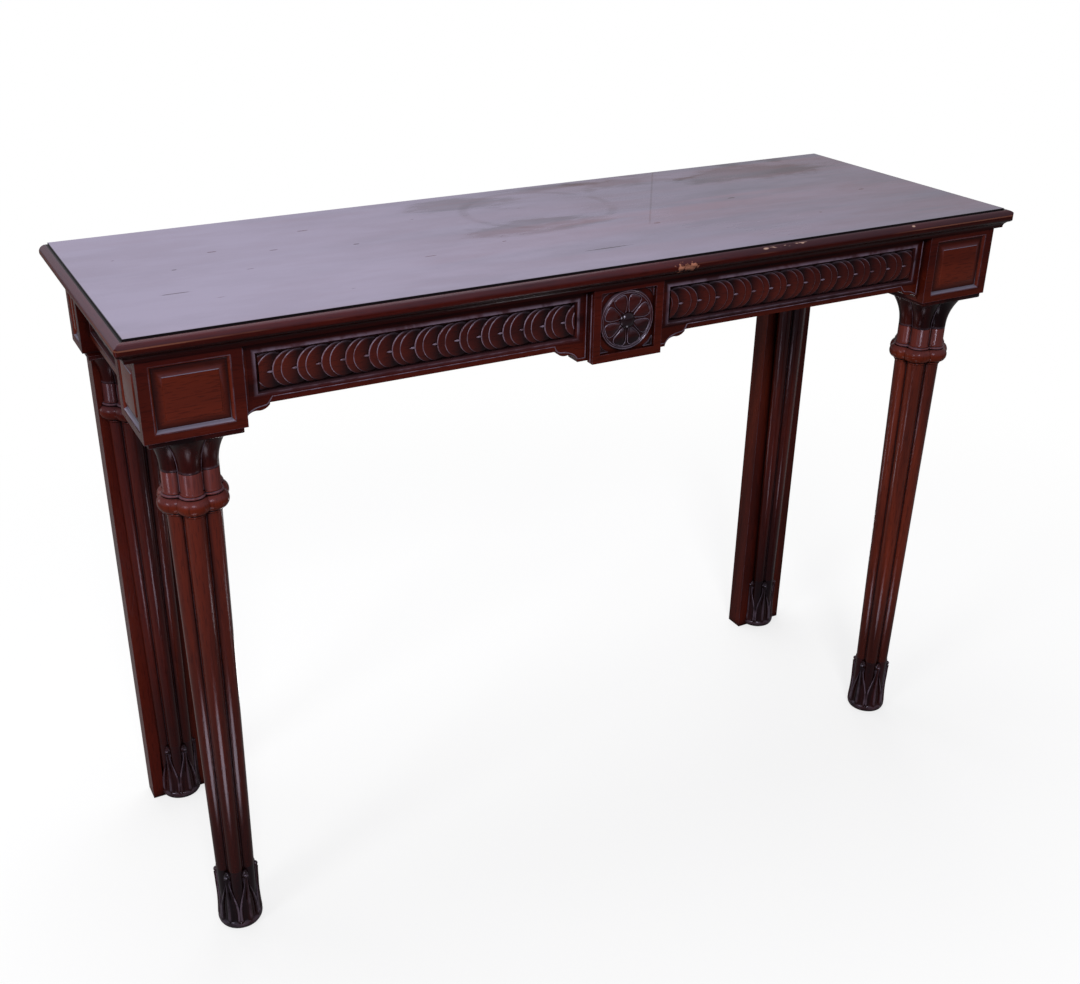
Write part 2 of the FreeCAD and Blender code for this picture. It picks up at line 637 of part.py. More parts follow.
def glue_block_places():
    places = []
    inner = BLOCK_IN - GLUE_BLOCK_LENGTH
    for i in range(FRONT_GLUE_BLOCKS):
        x = -inner + 2 * inner * i / (FRONT_GLUE_BLOCKS - 1)
        places.append((x, RAIL_BACK + GLUE_BLOCK / 2, GLUE_BLOCK_LENGTH, GLUE_BLOCK))
        places.append((x, BACK_RAIL_FRONT - GLUE_BLOCK / 2, GLUE_BLOCK_LENGTH, GLUE_BLOCK))
    end_x = END_FACE - RAIL_THICK - GLUE_BLOCK / 2
    end_y = (FRONT_BLOCK_BACK + REAR_BLOCK_FRONT) / 2
    for side in (-1, 1):
        places.append((side * end_x, end_y, GLUE_BLOCK, GLUE_BLOCK_LENGTH))
    return places


def make_fixings():
    blocks = []
    screws = []
    low = CARCASS_TOP - GLUE_BLOCK
    for x, y, size_x, size_y in glue_block_places():
        screw = wood_screw(GLUE_BLOCK + TOP_SCREW_BITE, TOP_SCREW_RADIUS, TOP_SCREW_HEAD_RADIUS, TOP_SCREW_HEAD)
        screw.rotate(V(0, 0, 0), V(1, 0, 0), 180)
        screw.translate(V(x, y, CARCASS_TOP + TOP_SCREW_BITE))
        piece = box(x - size_x / 2, x + size_x / 2, y - size_y / 2, y + size_y / 2, low, CARCASS_TOP)
        blocks.append(piece.cut(screw))
        screws.append(screw)
    return blocks, screws


def leg_screws():
    back = PILASTER_Y + PILASTER_THICK
    front = PILASTER_Y - LEG_SCREW_BITE
    screws = []
    for side in (-1, 1):
        for z in LEG_SCREW_HEIGHTS:
            screw = wood_screw(back - front, LEG_SCREW_RADIUS, LEG_SCREW_HEAD_RADIUS, LEG_SCREW_HEAD)
            screw.rotate(V(0, 0, 0), V(1, 0, 0), -90)
            screw.translate(V(side * BLOCK_X, front, z))
            screws.append(screw)
    return screws


# ================================================================ assembly
def build():
    board, nosing_front, nosing_left = make_top()
    glue_blocks, top_screws = make_fixings()
    NODES["top_board"] = board.cut(Part.makeCompound(top_screws))
    NODES["top_moulding_front"] = nosing_front
    put_pair("top_moulding", nosing_left)

    panel_front = front_panel()
    panel_end_front = end_panel(FRONT_FACE, FRONT_BLOCK_BACK)
    panel_end_rear = end_panel(REAR_BLOCK_FRONT, BACK_FACE)

    front_rail, front_tenon = rail_along_x(RAIL_FACE)
    back_rail, back_tenon = rail_along_x(BACK_RAIL_FRONT)
    end_rail, end_tenon = rail_along_y()
    front_mortise = rail_along_x(RAIL_FACE, MORTISE_CLEAR)[1]
    back_mortise = rail_along_x(BACK_RAIL_FRONT, MORTISE_CLEAR)[1]
    end_mortise = rail_along_y(MORTISE_CLEAR)[1]

    leg_hole = Part.makeCylinder(SPIGOT_RADIUS + SPIGOT_CLEAR, BLOCK_SPIGOT_LENGTH + 1,
                                 V(-BLOCK_X, LEG_Y, BLOCK_LOW))
    pilaster, pilaster_tenon = make_pilaster()
    pilaster_mortise = make_pilaster(MORTISE_CLEAR)[1]

    block = box(-BLOCK_OUT, -BLOCK_IN, FRONT_FACE, FRONT_BLOCK_BACK, BLOCK_LOW, CARCASS_TOP)
    block = block.cut([recess_at(panel_front, "y"), recess_at(panel_end_front, "x"),
                       front_mortise, end_mortise, leg_hole])
    put_pair("corner_block_front", block)
    block = box(-BLOCK_OUT, -BLOCK_IN, REAR_BLOCK_FRONT, BACK_FACE, BLOCK_LOW, CARCASS_TOP)
    block = block.cut([recess_at(panel_end_rear, "x"), back_mortise, end_mortise, pilaster_mortise])
    put_pair("corner_block_rear", block)
    put_pair("block_panel_front", panel_front)
    put_pair("block_panel_end_front", panel_end_front)
    put_pair("block_panel_end_rear", panel_end_rear)

    # Frieze panels of the front rail, mirrored about the middle
    span = BLOCK_IN - TABLET_WIDTH / 2 - 2 * FRIEZE_MARGIN
    frame, field = frieze_set(span)
    place = V(-BLOCK_IN + FRIEZE_MARGIN, RAIL_FACE, FRAME_LOW)
    frame.translate(place)
    field.translate(place)
    put_pair("frieze_frame", frame)
    put_pair("frieze_carving", field)
    well_x = (place.x, place.x + span)
    front_rail = front_rail.fuse(front_tenon)
    for x0, x1 in (well_x, (-well_x[1], -well_x[0])):
        front_rail = front_rail.cut(box(x0, x1, RAIL_FACE - 1, RAIL_FACE + FRAME_RECESS, FRAME_LOW, FRAME_HIGH))
    NODES["front_rail"] = front_rail
    NODES["back_rail"] = back_rail.fuse(back_tenon)

    # Frieze panels of the end rails
    end_span = REAR_BLOCK_FRONT - FRONT_BLOCK_BACK - 2 * FRIEZE_MARGIN
    frame, field = frieze_set(end_span)
    for piece in (frame, field):
        piece.rotate(V(0, 0, 0), UP, -90)
        piece.translate(V(-END_FACE, REAR_BLOCK_FRONT - FRIEZE_MARGIN, FRAME_LOW))
    put_pair("end_frame", frame)
    put_pair("end_carving", field)
    y0 = FRONT_BLOCK_BACK + FRIEZE_MARGIN
    well = box(-END_FACE - 1, -END_FACE + FRAME_RECESS, y0, y0 + end_span, FRAME_LOW, FRAME_HIGH)
    put_pair("end_rail", end_rail.fuse(end_tenon).cut(well))

    put_pair("rail_bracket", side_bracket())
    NODES["rail_bracket_centre"] = centre_bracket()
    NODES["centre_tablet"] = make_tablet()
    NODES["rosette"], NODES["rosette_boss"] = make_rosette()

    for name, piece in front_leg().items():
        put_pair("leg_" + name + "_front", piece)
    screws = leg_screws()
    screw_group = Part.makeCompound(screws)
    for name, piece in rear_leg().items():
        put_pair("leg_" + name + "_rear", piece.cut(screw_group))
    put_pair("rear_pilaster", pilaster.fuse(pilaster_tenon).cut(screw_group))

    NODES["glue_blocks"] = Part.makeCompound(glue_blocks)
    NODES["top_screws"] = Part.makeCompound(top_screws)
    NODES["rear_leg_screws"] = screw_group


def recess_at(panel, axis):
    """Recess for a let-in panel, cut right out through the face that it shows on."""
    b = panel.BoundBox
    if axis == "y":
        return box(b.XMin, b.XMax, FRONT_FACE - 1, b.YMax, b.ZMin, b.ZMax)
    return box(-BLOCK_OUT - 1, b.XMax, b.YMin, b.YMax, b.ZMin, b.ZMax)


build()
for node, shape in NODES.items():
    shape.exportStep("parts/" + node + ".step")
print(len(NODES), "nodes written")
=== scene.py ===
"""Mahogany pier table: the looks around its fixed frame, as a Blender add-on."""
import math

import bmesh
import bpy
from bpy.props import FloatProperty, FloatVectorProperty, PointerProperty
from mathutils import Matrix, Vector


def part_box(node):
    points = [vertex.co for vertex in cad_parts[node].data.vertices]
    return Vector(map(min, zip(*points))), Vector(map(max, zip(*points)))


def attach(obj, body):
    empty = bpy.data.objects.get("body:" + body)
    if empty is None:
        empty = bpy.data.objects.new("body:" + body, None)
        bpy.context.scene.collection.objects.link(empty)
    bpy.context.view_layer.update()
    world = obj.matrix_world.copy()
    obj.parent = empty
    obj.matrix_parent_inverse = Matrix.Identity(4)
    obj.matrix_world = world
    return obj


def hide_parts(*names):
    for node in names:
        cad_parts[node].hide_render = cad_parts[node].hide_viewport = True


bl_info = {
    "name": "Mahogany pier table",
    "version": (1, 0, 0),
    "blender": (4, 5, 0),
    "location": "View3D > Sidebar > Pier Table",
    "description": "Builds the carved and polished pieces of a mahogany pier table",
    "category": "Add Mesh",
}

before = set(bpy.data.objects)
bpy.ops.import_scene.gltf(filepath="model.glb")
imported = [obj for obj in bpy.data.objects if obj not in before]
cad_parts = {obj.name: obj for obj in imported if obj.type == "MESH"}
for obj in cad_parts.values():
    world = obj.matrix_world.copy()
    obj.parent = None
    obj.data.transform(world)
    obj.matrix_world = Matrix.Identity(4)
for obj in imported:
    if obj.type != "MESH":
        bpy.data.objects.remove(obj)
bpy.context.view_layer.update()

MM = 0.001
LOBES = 6
LOBE_SHARE = 0.36          # radius of a lobe over the radius of its cluster
GROOVE_SHARE = 0.735       # reach of the grooves, over the radius of the cluster
FIRST_LOBE = 15.0          # degrees from +X on the left legs
LOBE_RING = 22.4 * MM      # the lobes' centres from the axis, in the collar and the capital
SIDES = ("left", "right")
OUT_FRONT = Vector((0, -1, 0))
MIRROR_X = Matrix.Scale(-1, 4, Vector((1, 0, 0)))
QUARTER = math.radians(90)


# ---------------------------------------------------------------- user sizes and colours
def colour_property(name, description, default):
    return FloatVectorProperty(name=name, description=description, default=default,
                               subtype="COLOR", size=3, min=0.0, max=1.0)


def length_property(name, description, default):
    return FloatProperty(name=name, description=description, default=default,
                         subtype="DISTANCE", unit="LENGTH", min=0.0)


class TableColours(bpy.types.PropertyGroup):
    deep: colour_property("Deep grain", "Darkest streaks of the mahogany", (0.009, 0.0016, 0.0013))
    body: colour_property("Body", "Main colour of the mahogany", (0.058, 0.0060, 0.0036))
    bright: colour_property("Bright figure", "Lightest figure of the mahogany", (0.135, 0.0185, 0.0065))
    # Lavender film over the polish: partly dust on old polish, partly a painted sheen that stands for the
    # light it reflects
    haze_and_sheen: colour_property("Haze", "Dull lavender bloom on the flat polish", (0.284, 0.250, 0.346))
    # Lavender grey of worn edges and lines, which also stands for their painted highlights
    worn_and_lit_edge: colour_property("Worn edge", "Dusty grey of the rubbed edges", (0.190, 0.140, 0.195))
    raw_wood: colour_property("Raw wood", "Bare wood where the nosing is chipped", (0.42, 0.17, 0.11))
    pine: colour_property("Pine", "Secondary wood of the glue blocks", (0.40, 0.25, 0.12))
    # Near black painted in the quirk round the field of the top: its shadow, with its dirt
    quirk: colour_property("Quirk", "Dirt in the quirk round the field of the top", (0.006, 0.004, 0.005))
    steel: colour_property("Steel", "Screws under the top and behind the legs", (0.30, 0.29, 0.28))


class TableSizes(bpy.types.PropertyGroup):
    edge_round: length_property("Edge round", "Softened edge of the plates over the capitals", 0.8 * MM)
    groove_bead: length_property("Groove bead", "Radius of the bead in the capital's grooves", 0.8 * MM)
    leaf_relief: length_property("Leaf relief", "Height of a leaf's midrib and rims", 1.3 * MM)


# ---------------------------------------------------------------- modelling by hand
def nothing_selected():
    active = bpy.context.view_layer.objects.active
    if active and active.mode != "OBJECT":
        leave_edit()
    bpy.ops.object.select_all(action="DESELECT")


def only(piece):
    nothing_selected()
    piece.select_set(True)
    bpy.context.view_layer.objects.active = piece


def name_new(name):
    piece = bpy.context.view_layer.objects.active
    piece.name = name
    piece.data.name = name
    return piece


def settle(name):
    """Names the new piece and works its place, turn and size into its mesh."""
    piece = name_new(name)
    bpy.ops.object.transform_apply(location=True, rotation=True, scale=True)
    return piece


def edit():
    bpy.ops.object.mode_set(mode="EDIT")


def leave_edit():
    bpy.ops.object.mode_set(mode="OBJECT")


def pick(kind, test):
    """Selects the vertices, edges or faces of the edited mesh that pass the test."""
    mesh = bpy.context.view_layer.objects.active.data
    bpy.context.tool_settings.mesh_select_mode = (kind == "VERT", kind == "EDGE", kind == "FACE")
    edited = bmesh.from_edit_mesh(mesh)
    for group in (edited.verts, edited.edges, edited.faces):
        for element in group:
            element.select = False
    edited.select_flush(False)
    for element in {"VERT": edited.verts, "EDGE": edited.edges, "FACE": edited.faces}[kind]:
        if test(element):
            element.select_set(True)
    edited.select_flush_mode()
    bmesh.update_edit_mesh(mesh)


def pick_all():
    bpy.ops.mesh.select_all(action="SELECT")


def shift(x, y, z):
    bpy.ops.transform.translate(value=(x, y, z))


def stretch(x, y, z, centre):
    bpy.ops.transform.resize(value=(x, y, z), center_override=centre)


def draw_out(x, y, z):
    bpy.ops.mesh.extrude_region_move(TRANSFORM_OT_translate={"value": (x, y, z)})


def spin_selected(degrees):
    """Turns what is selected counter-clockwise about the Z axis."""
    bpy.ops.transform.rotate(value=-math.radians(degrees), orient_axis="Z", center_override=(0, 0, 0))


def cut_off(point, outward, fill=True):
    """Cuts the edited mesh at a plane and drops what lies beyond it."""
    pick_all()
    bpy.ops.mesh.bisect(plane_co=point, plane_no=outward, clear_outer=True, use_fill=fill)


def close_up():
    """Turns every face of the edited mesh outward and leaves edit mode."""
    pick_all()
    bpy.ops.mesh.normals_make_consistent(inside=False)
    leave_edit()


def work_steps(facing, steps):
    """Works a moulding into the selected face: (inset, rise) steps in mm."""
    for inset, rise in steps:
        bpy.ops.mesh.inset(thickness=inset * MM, depth=0)
        if rise:
            bpy.ops.transform.translate(value=facing * rise * MM)


def new_box(name, low, high):
    """Rectangular blank between two corners, its object at the origin."""
    nothing_selected()
    low, high = Vector(low), Vector(high)
    bpy.ops.mesh.primitive_cube_add(size=1, location=(low + high) / 2)
    bpy.context.view_layer.objects.active.scale = high - low
    return settle(name)


def new_ball(name, place, radius, segments, rings, turn=(0, 0, 0), squash=(1, 1, 1)):
    nothing_selected()
    bpy.ops.mesh.primitive_uv_sphere_add(segments=segments, ring_count=rings, radius=radius,
                                         location=place, rotation=turn)
    bpy.context.view_layer.objects.active.scale = squash
    return settle(name)


def carved_plate(name, verts, radius, thick, steps, centre=(0, 0, 0), outline=None):
    """Round plate facing -Y, or one of another outline, with steps worked into its face."""
    nothing_selected()
    bpy.ops.mesh.primitive_circle_add(vertices=verts, radius=radius, fill_type="NGON", location=centre,
                                      rotation=(QUARTER, 0, 0))
    piece = settle(name)
    if outline:
        for vertex in piece.data.vertices:
            vertex.co = outline(vertex.co)
    edit()
    pick_all()
    draw_out(0, -thick, 0)
    work_steps(OUT_FRONT, steps)
    close_up()
    return piece


def stepped_face(piece, facing, steps):
    """Works a moulding into the face of a piece that looks a given way."""
    only(piece)
    edit()
    pick("FACE", lambda f: f.normal.dot(facing) > 0.9)
    work_steps(facing, steps)
    leave_edit()


def turned_piece(name, centre, stations, verts=48):
    """Turning about Z: a circle drawn upward through (height, radius) stations."""
    nothing_selected()
    low, radius = stations[0]
    bpy.ops.mesh.primitive_circle_add(vertices=verts, radius=radius, location=(*centre, low),
                                      fill_type="NGON")
    piece = settle(name)
    edit()
    raise_stations(centre, stations)
    close_up()
    return piece


def raise_stations(centre, stations):
    """Extrudes the selected face through the stations, scaled about the axis."""
    height, radius = stations[0]
    for z, r in stations[1:]:
        draw_out(0, 0, z - height)
        if abs(r - radius) > 1e-9:
            stretch(r / radius, r / radius, 1, (*centre, z))
        height, radius = z, r


def smooth(piece, angle=40):
    only(piece)
    bpy.ops.object.shade_smooth_by_angle(angle=math.radians(angle))


def ease(piece, width, segments=2, angle=40):
    """Softens the arrises of a piece and shades its rounds."""
    bevel = piece.modifiers.new("arris", "BEVEL")
    bevel.width = width
    bevel.segments = segments
    bevel.limit_method = "ANGLE"
    bevel.angle_limit = math.radians(30)
    bevel.harden_normals = False
    only(piece)
    bpy.ops.object.modifier_apply(modifier=bevel.name)
    smooth(piece, angle)


def joined(name, pieces):
    nothing_selected()
    for piece in pieces:
        piece.select_set(True)
    bpy.context.view_layer.objects.active = pieces[0]
    bpy.ops.object.join()
    return name_new(name)


def copy_of(piece, name, matrix):
    """A copy with its own mesh, moved by a matrix. A mirroring matrix keeps its faces outward."""
    copy = piece.copy()
    copy.data = piece.data.copy()
    copy.name = name
    copy.data.name = name
    bpy.context.scene.collection.objects.link(copy)
    copy.data.transform(matrix)
    if matrix.determinant() < 0:
        copy.data.flip_normals()
    return copy


def repeated(model, moves):
    """Copies of a model, each moved by a matrix. The model itself is taken away."""
    copies = [copy_of(model, "%s_%d" % (model.name, i), move) for i, move in enumerate(moves)]
    bpy.data.objects.remove(model)
    return copies


def cut_back(piece, y):
    """Keeps what stands in front of a plane across the table."""
    only(piece)
    edit()
    cut_off((0, y, 0), (0, 1, 0))
    leave_edit()


def clamped(value, low=0.0):
    return min(1.0, max(low, value))


def note_wear_highlight_and_shade(piece, test, amount=1.0, layer="rubbed"):
    """Notes on a piece where its polish is worn and given a painted highlight, or where shade is painted
    dark, for the finish to read.
    """
    mesh = piece.data
    if layer not in mesh.attributes:
        mesh.attributes.new(layer, "FLOAT", "POINT")
    worn = [(v.index, test(v.co)) for v in mesh.vertices]
    for index, share in worn:
        if share:
            mesh.attributes[layer].data[index].value = amount * share


def finish_piece(piece, material, slot, *nodes):
    piece.data.materials.clear()
    piece.data.materials.append(material)
    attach(piece, "root")
    if nodes:
        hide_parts(*nodes)
    return piece


# ---------------------------------------------------------------- sums over a surface
def feed(socket, value):
    """Links a field to a socket, or sets the socket to a plain value."""
    source = getattr(value, "socket", value)
    if isinstance(source, bpy.types.NodeSocket):
        socket.id_data.links.new(source, socket)
    else:
        socket.default_value = source


def add_node(tree, kind, **values):
    """New node. Values that start with in_ go to its input sockets."""
    node = tree.nodes.new(kind)
    for key, value in values.items():
        if key.startswith("in_"):
            feed(node.inputs[key[3:].replace("_", " ")], value)
        else:
            setattr(node, key, value)
    return node


def sum_node(kind, operation, a, b, clamp=None):
    node = add_node((a if isinstance(a, Field) else b).tree, kind, operation=operation)
    if clamp:
        node.use_clamp = True
    feed(node.inputs[0], a)
    feed(node.inputs[1], b)
    return node


def maths(operation, a, b=0.0, clamp=False):
    return Field(sum_node("ShaderNodeMath", operation, a, b, clamp).outputs[0])


class Field:
    """Output of a node that varies over the surface and takes part in sums."""

    def __init__(self, socket):
        self.socket = socket
        self.tree = socket.id_data

    def __add__(self, other):
        return maths("ADD", self, other)

    def __sub__(self, other):
        return maths("SUBTRACT", self, other)

    def __rsub__(self, other):
        return maths("SUBTRACT", other, self)

    def __mul__(self, other):
        return maths("MULTIPLY", self, other)

    def __abs__(self):
        return maths("ABSOLUTE", self)

    def ranged(self, low, high, to_low=0.0, to_high=1.0):
        """Eases from one value to the other as the field goes from low to high."""
        node = add_node(self.tree, "ShaderNodeMapRange", interpolation_type="SMOOTHSTEP", in_Value=self,
                        in_From_Min=low, in_From_Max=high, in_To_Min=to_low, in_To_Max=to_high)
        return Field(node.outputs["Result"])

    def mix(self, a, b):
        """Colour a where the field is 0 and b where it is 1."""
        node = add_node(self.tree, "ShaderNodeMix", data_type="RGBA", in_Factor=self)
        feed(node.inputs[6], a)
        feed(node.inputs[7], b)
        return Field(node.outputs[2])

    def scaled(self, by):
        return Field(sum_node("ShaderNodeVectorMath", "MULTIPLY", self, by).outputs[0])

    def away_from(self, centre, by=(1, 1, 1)):
        """Distance of a place from a centre, stretched along each axis."""
        off = Field(sum_node("ShaderNodeVectorMath", "SUBTRACT", self, centre).outputs[0]).scaled(by)
        return Field(sum_node("ShaderNodeVectorMath", "LENGTH", off, (0, 0, 0)).outputs["Value"])

    def split(self):
        node = add_node(self.tree, "ShaderNodeSeparateXYZ", in_Vector=self)
        return [Field(socket) for socket in node.outputs]

    def noise(self, cycles, detail=4.0, by=(1, 1, 1), roughness=0.55, distortion=0.0):
        """Noise of so many cycles per metre at a place, stretched along each axis."""
        node = add_node(self.tree, "ShaderNodeTexNoise", in_Scale=cycles, in_Detail=detail,
                        in_Roughness=roughness, in_Distortion=distortion, in_Vector=self.scaled(by))
        return Field(node.outputs["Fac"])


def new_group(name, inputs, outputs):
    """Shader group: the group, its inputs as fields and its output node."""
    group = bpy.data.node_groups.new(name, "ShaderNodeTree")
    for label, default in inputs.items():
        size = len(default) if isinstance(default, tuple) else 1
        kind = {1: "NodeSocketFloat", 3: "NodeSocketVector", 4: "NodeSocketColor"}[size]
        socket = group.interface.new_socket(name=label, in_out="INPUT", socket_type=kind)
        socket.default_value = default
    for label in outputs:
        kind = "NodeSocketColor" if label == "Color" else "NodeSocketFloat"
        group.interface.new_socket(name=label, in_out="OUTPUT", socket_type=kind)
    source = group.nodes.new("NodeGroupInput")
    given = {label: Field(source.outputs[label]) for label in inputs}
    return group, given, group.nodes.new("NodeGroupOutput")


# ---------------------------------------------------------------- materials
BLACK = (0, 0, 0, 1)
GRAIN = {"x": (0.09, 1, 1), "y": (1, 0.09, 1), "z": (1, 1, 0.09)}


def mahogany_group():
    """Streaked figure along the grain, with dark pores."""
    group, given, sink = new_group(
        "mahogany_figure",
        {"Vector": (0, 0, 0), "Along": (1, 12, 12), "Deep": BLACK, "Body": BLACK, "Bright": BLACK,
         "Brightness": 0.5, "Streaks": 1.0},
        ("Color", "Pores", "Ripple"))
    place = given["Vector"].scaled(given["Along"])
    broad = place.noise(5.0, 3.0, distortion=0.6)
    streak = place.noise(22.0, 6.0, roughness=0.6, distortion=0.3)
    pore = place.noise(620.0, 2.0, roughness=0.5).ranged(0.36, 0.46, 1.0, 0.0)
    lift = broad + (given["Brightness"] - 0.5)
    tone = lift.ranged(0.42, 0.72).mix(given["Body"], given["Bright"])
    tone = (streak.ranged(0.60, 0.36) * given["Streaks"]).mix(tone, given["Deep"])
    feed(sink.inputs["Color"], (pore * 0.32).mix(tone, given["Deep"]))
    feed(sink.inputs["Pores"], pore)
    feed(sink.inputs["Ripple"], streak)
    return group


def age_and_shade_group():
    """Darkens the hollows, partly old polish gathered there and partly painted shade, and lightens the
    arrises, partly dusty wear and partly painted highlight.
    """
    group, given, sink = new_group(
        "old_polish_and_painted_shade",
        {"Color": BLACK, "Dark": (0.006, 0.002, 0.002, 1), "Rubbed": (0.2, 0.15, 0.2, 1),
         "Hollow Reach": 0.012, "Hollow": 0.8, "Edge Reach": 0.0013, "Edge": 0.8, "Rubbing": 0.0,
         "Vector": (0, 0, 0)},
        ("Color", "Edge Mask"))

    def open_air(reach, inside):
        node = add_node(group, "ShaderNodeAmbientOcclusion", samples=8, inside=inside, in_Distance=reach)
        return Field(node.outputs["AO"])
    # Painted shade: hollows near other surfaces go dark, partly old polish gathered there
    dark = open_air(given["Hollow Reach"], False).ranged(0.84, 0.38)
    dark = maths("MULTIPLY", dark, given["Hollow"], clamp=True)
    # Wear with painted highlight: arrises and noted lines go towards the lavender grey
    rub = open_air(given["Edge Reach"], True).ranged(0.80, 0.45) * given["Edge"]
    rub = maths("MAXIMUM", rub, given["Rubbing"])
    patches = given["Vector"].noise(60.0, roughness=0.5).ranged(0.34, 0.60, 0.25, 0.95)
    rub = maths("MULTIPLY", rub, patches, clamp=True)
    feed(sink.inputs["Color"], rub.mix(dark.mix(given["Color"], given["Dark"]), given["Rubbed"]))
    feed(sink.inputs["Edge Mask"], rub)
    return group


def rgba(colour, share=1.0):
    return (colour[0] * share, colour[1] * share, colour[2] * share, 1.0)


def shader_material(name):
    """New material, its shader and the place on the piece."""
    material = bpy.data.materials.new(name)
    material.use_nodes = True
    tree = material.node_tree
    tree.nodes.clear()
    shader = tree.nodes.new("ShaderNodeBsdfPrincipled")
    add_node(tree, "ShaderNodeOutputMaterial", in_Surface=shader.outputs[0])
    return material, shader, Field(tree.nodes.new("ShaderNodeTexCoord").outputs["Object"])


def figured(place, along, deep, body, bright, brightness=0.5, streaks=1.0):
    return add_node(place.tree, "ShaderNodeGroup", node_tree=MAHOGANY, in_Vector=place, in_Along=along,
                    in_Deep=deep, in_Body=body, in_Bright=bright, in_Brightness=brightness,
                    in_Streaks=streaks)


def mahogany_tones(shade=1.0):
    colours = bpy.context.scene.pier_colours
    return [rgba(colour, shade) for colour in (colours.deep, colours.body, colours.bright)]


def noted(tree, layer):
    """What note_wear_highlight_and_shade wrote on the piece."""
    return Field(add_node(tree, "ShaderNodeAttribute", attribute_name=layer).outputs["Fac"])


def looks_up(tree, low, high):
    normal = Field(tree.nodes.new("ShaderNodeNewGeometry").outputs["Normal"])
    return normal.split()[2].ranged(low, high)


def polished_wood(name, along, brightness, edge=0.0, hollow=0.8, hollow_reach=0.012, roughness=0.20,
                  specular=0.12, bloom_and_sheen=0.0, streaks=1.0, shade=1.0, low_shade=0.0, sunk_shade=1.0):
    """French-polished mahogany with its grain along one axis; painted dark as shade where the piece notes
    sunk places, darker towards the bottom where asked, and with a painted lavender sheen on faces that look
    up.
    """
    colours = bpy.context.scene.pier_colours
    material, shader, place = shader_material(name)
    tree = place.tree
    wood = figured(place, along, *mahogany_tones(shade), brightness, streaks)
    # Painted shade: where the piece notes a sunk place, the colour goes towards the deep tone
    colour = noted(tree, "sunk").mix(wood.outputs["Color"], rgba(colours.deep, sunk_shade))
    if low_shade:
        colour = place.split()[2].ranged(0.30, 0.09, 0.0, low_shade).mix(colour, rgba(colours.deep))
    # Painted sheen: faces that look up are mixed towards the lavender film, as if lit from above, partly dust
    # lying on them
    if bloom_and_sheen:
        colour = (looks_up(tree, 0.05, 0.55) * bloom_and_sheen).mix(colour, rgba(colours.haze_and_sheen, 0.55))
    # Painted shade in the hollows and painted highlight along worn edges and noted lines, with their real
    # darkening and wear
    aged = add_node(tree, "ShaderNodeGroup", node_tree=POLISH_AGE_AND_SHADE, in_Color=colour,
                    in_Rubbed=rgba(colours.worn_and_lit_edge), in_Edge=edge, in_Hollow=hollow,
                    in_Hollow_Reach=hollow_reach, in_Vector=place, in_Rubbing=noted(tree, "rubbed"))
    feed(shader.inputs["Base Color"], aged.outputs["Color"])
    ripple = Field(wood.outputs["Ripple"])
    rough = Field(aged.outputs["Edge Mask"]) * 0.25 + ripple.ranged(0.3, 0.7, roughness, roughness + 0.10)
    feed(shader.inputs["Roughness"], rough)
    relief = ripple - Field(wood.outputs["Pores"]) * 0.5
    bump = add_node(tree, "ShaderNodeBump", in_Strength=0.25, in_Distance=0.0003, in_Height=relief)
    feed(shader.inputs["Normal"], bump.outputs["Normal"])
    shader.inputs["Specular IOR Level"].default_value = specular
    shader.inputs["Specular Tint"].default_value = POLISH_TINT
    return material, shader, place, aged


def beyond_field(x, y):
    """How far a point lies outside the flat field of the top."""
    low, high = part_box("top_board")
    return maths("MAXIMUM", abs(x) - high.x, low.y - y)


POLISH_TINT = (0.84, 0.78, 1.0, 1.0)
TOP_TINT = (0.90, 0.86, 1.0, 1.0)
RUST = (0.12, 0.07, 0.04, 1)
CHIP = (0.0698, -0.2045, 0.8185)
WORN_NOSING = (((0.227, -0.203, 0.8262), 0.050, 0.62), ((-0.553, -0.2005, 0.8262), 0.018, 0.58),
               ((0.19, -0.203, 0.826), 0.006, 0.40), ((0.43, -0.203, 0.826), 0.004, 0.40))
COVE_TOP = 0.8175           # height below which the nosing is painted dark, as shade under its round
NOSING_CREST = 0.8215       # height of a broken line along the nosing's crest: wear where hands rub it, and a painted highlight
RUBBED_AND_GLINT_RED = (0.20, 0.075, 0.045, 1)
WORN_GREY = (0.42, 0.27, 0.22, 1)


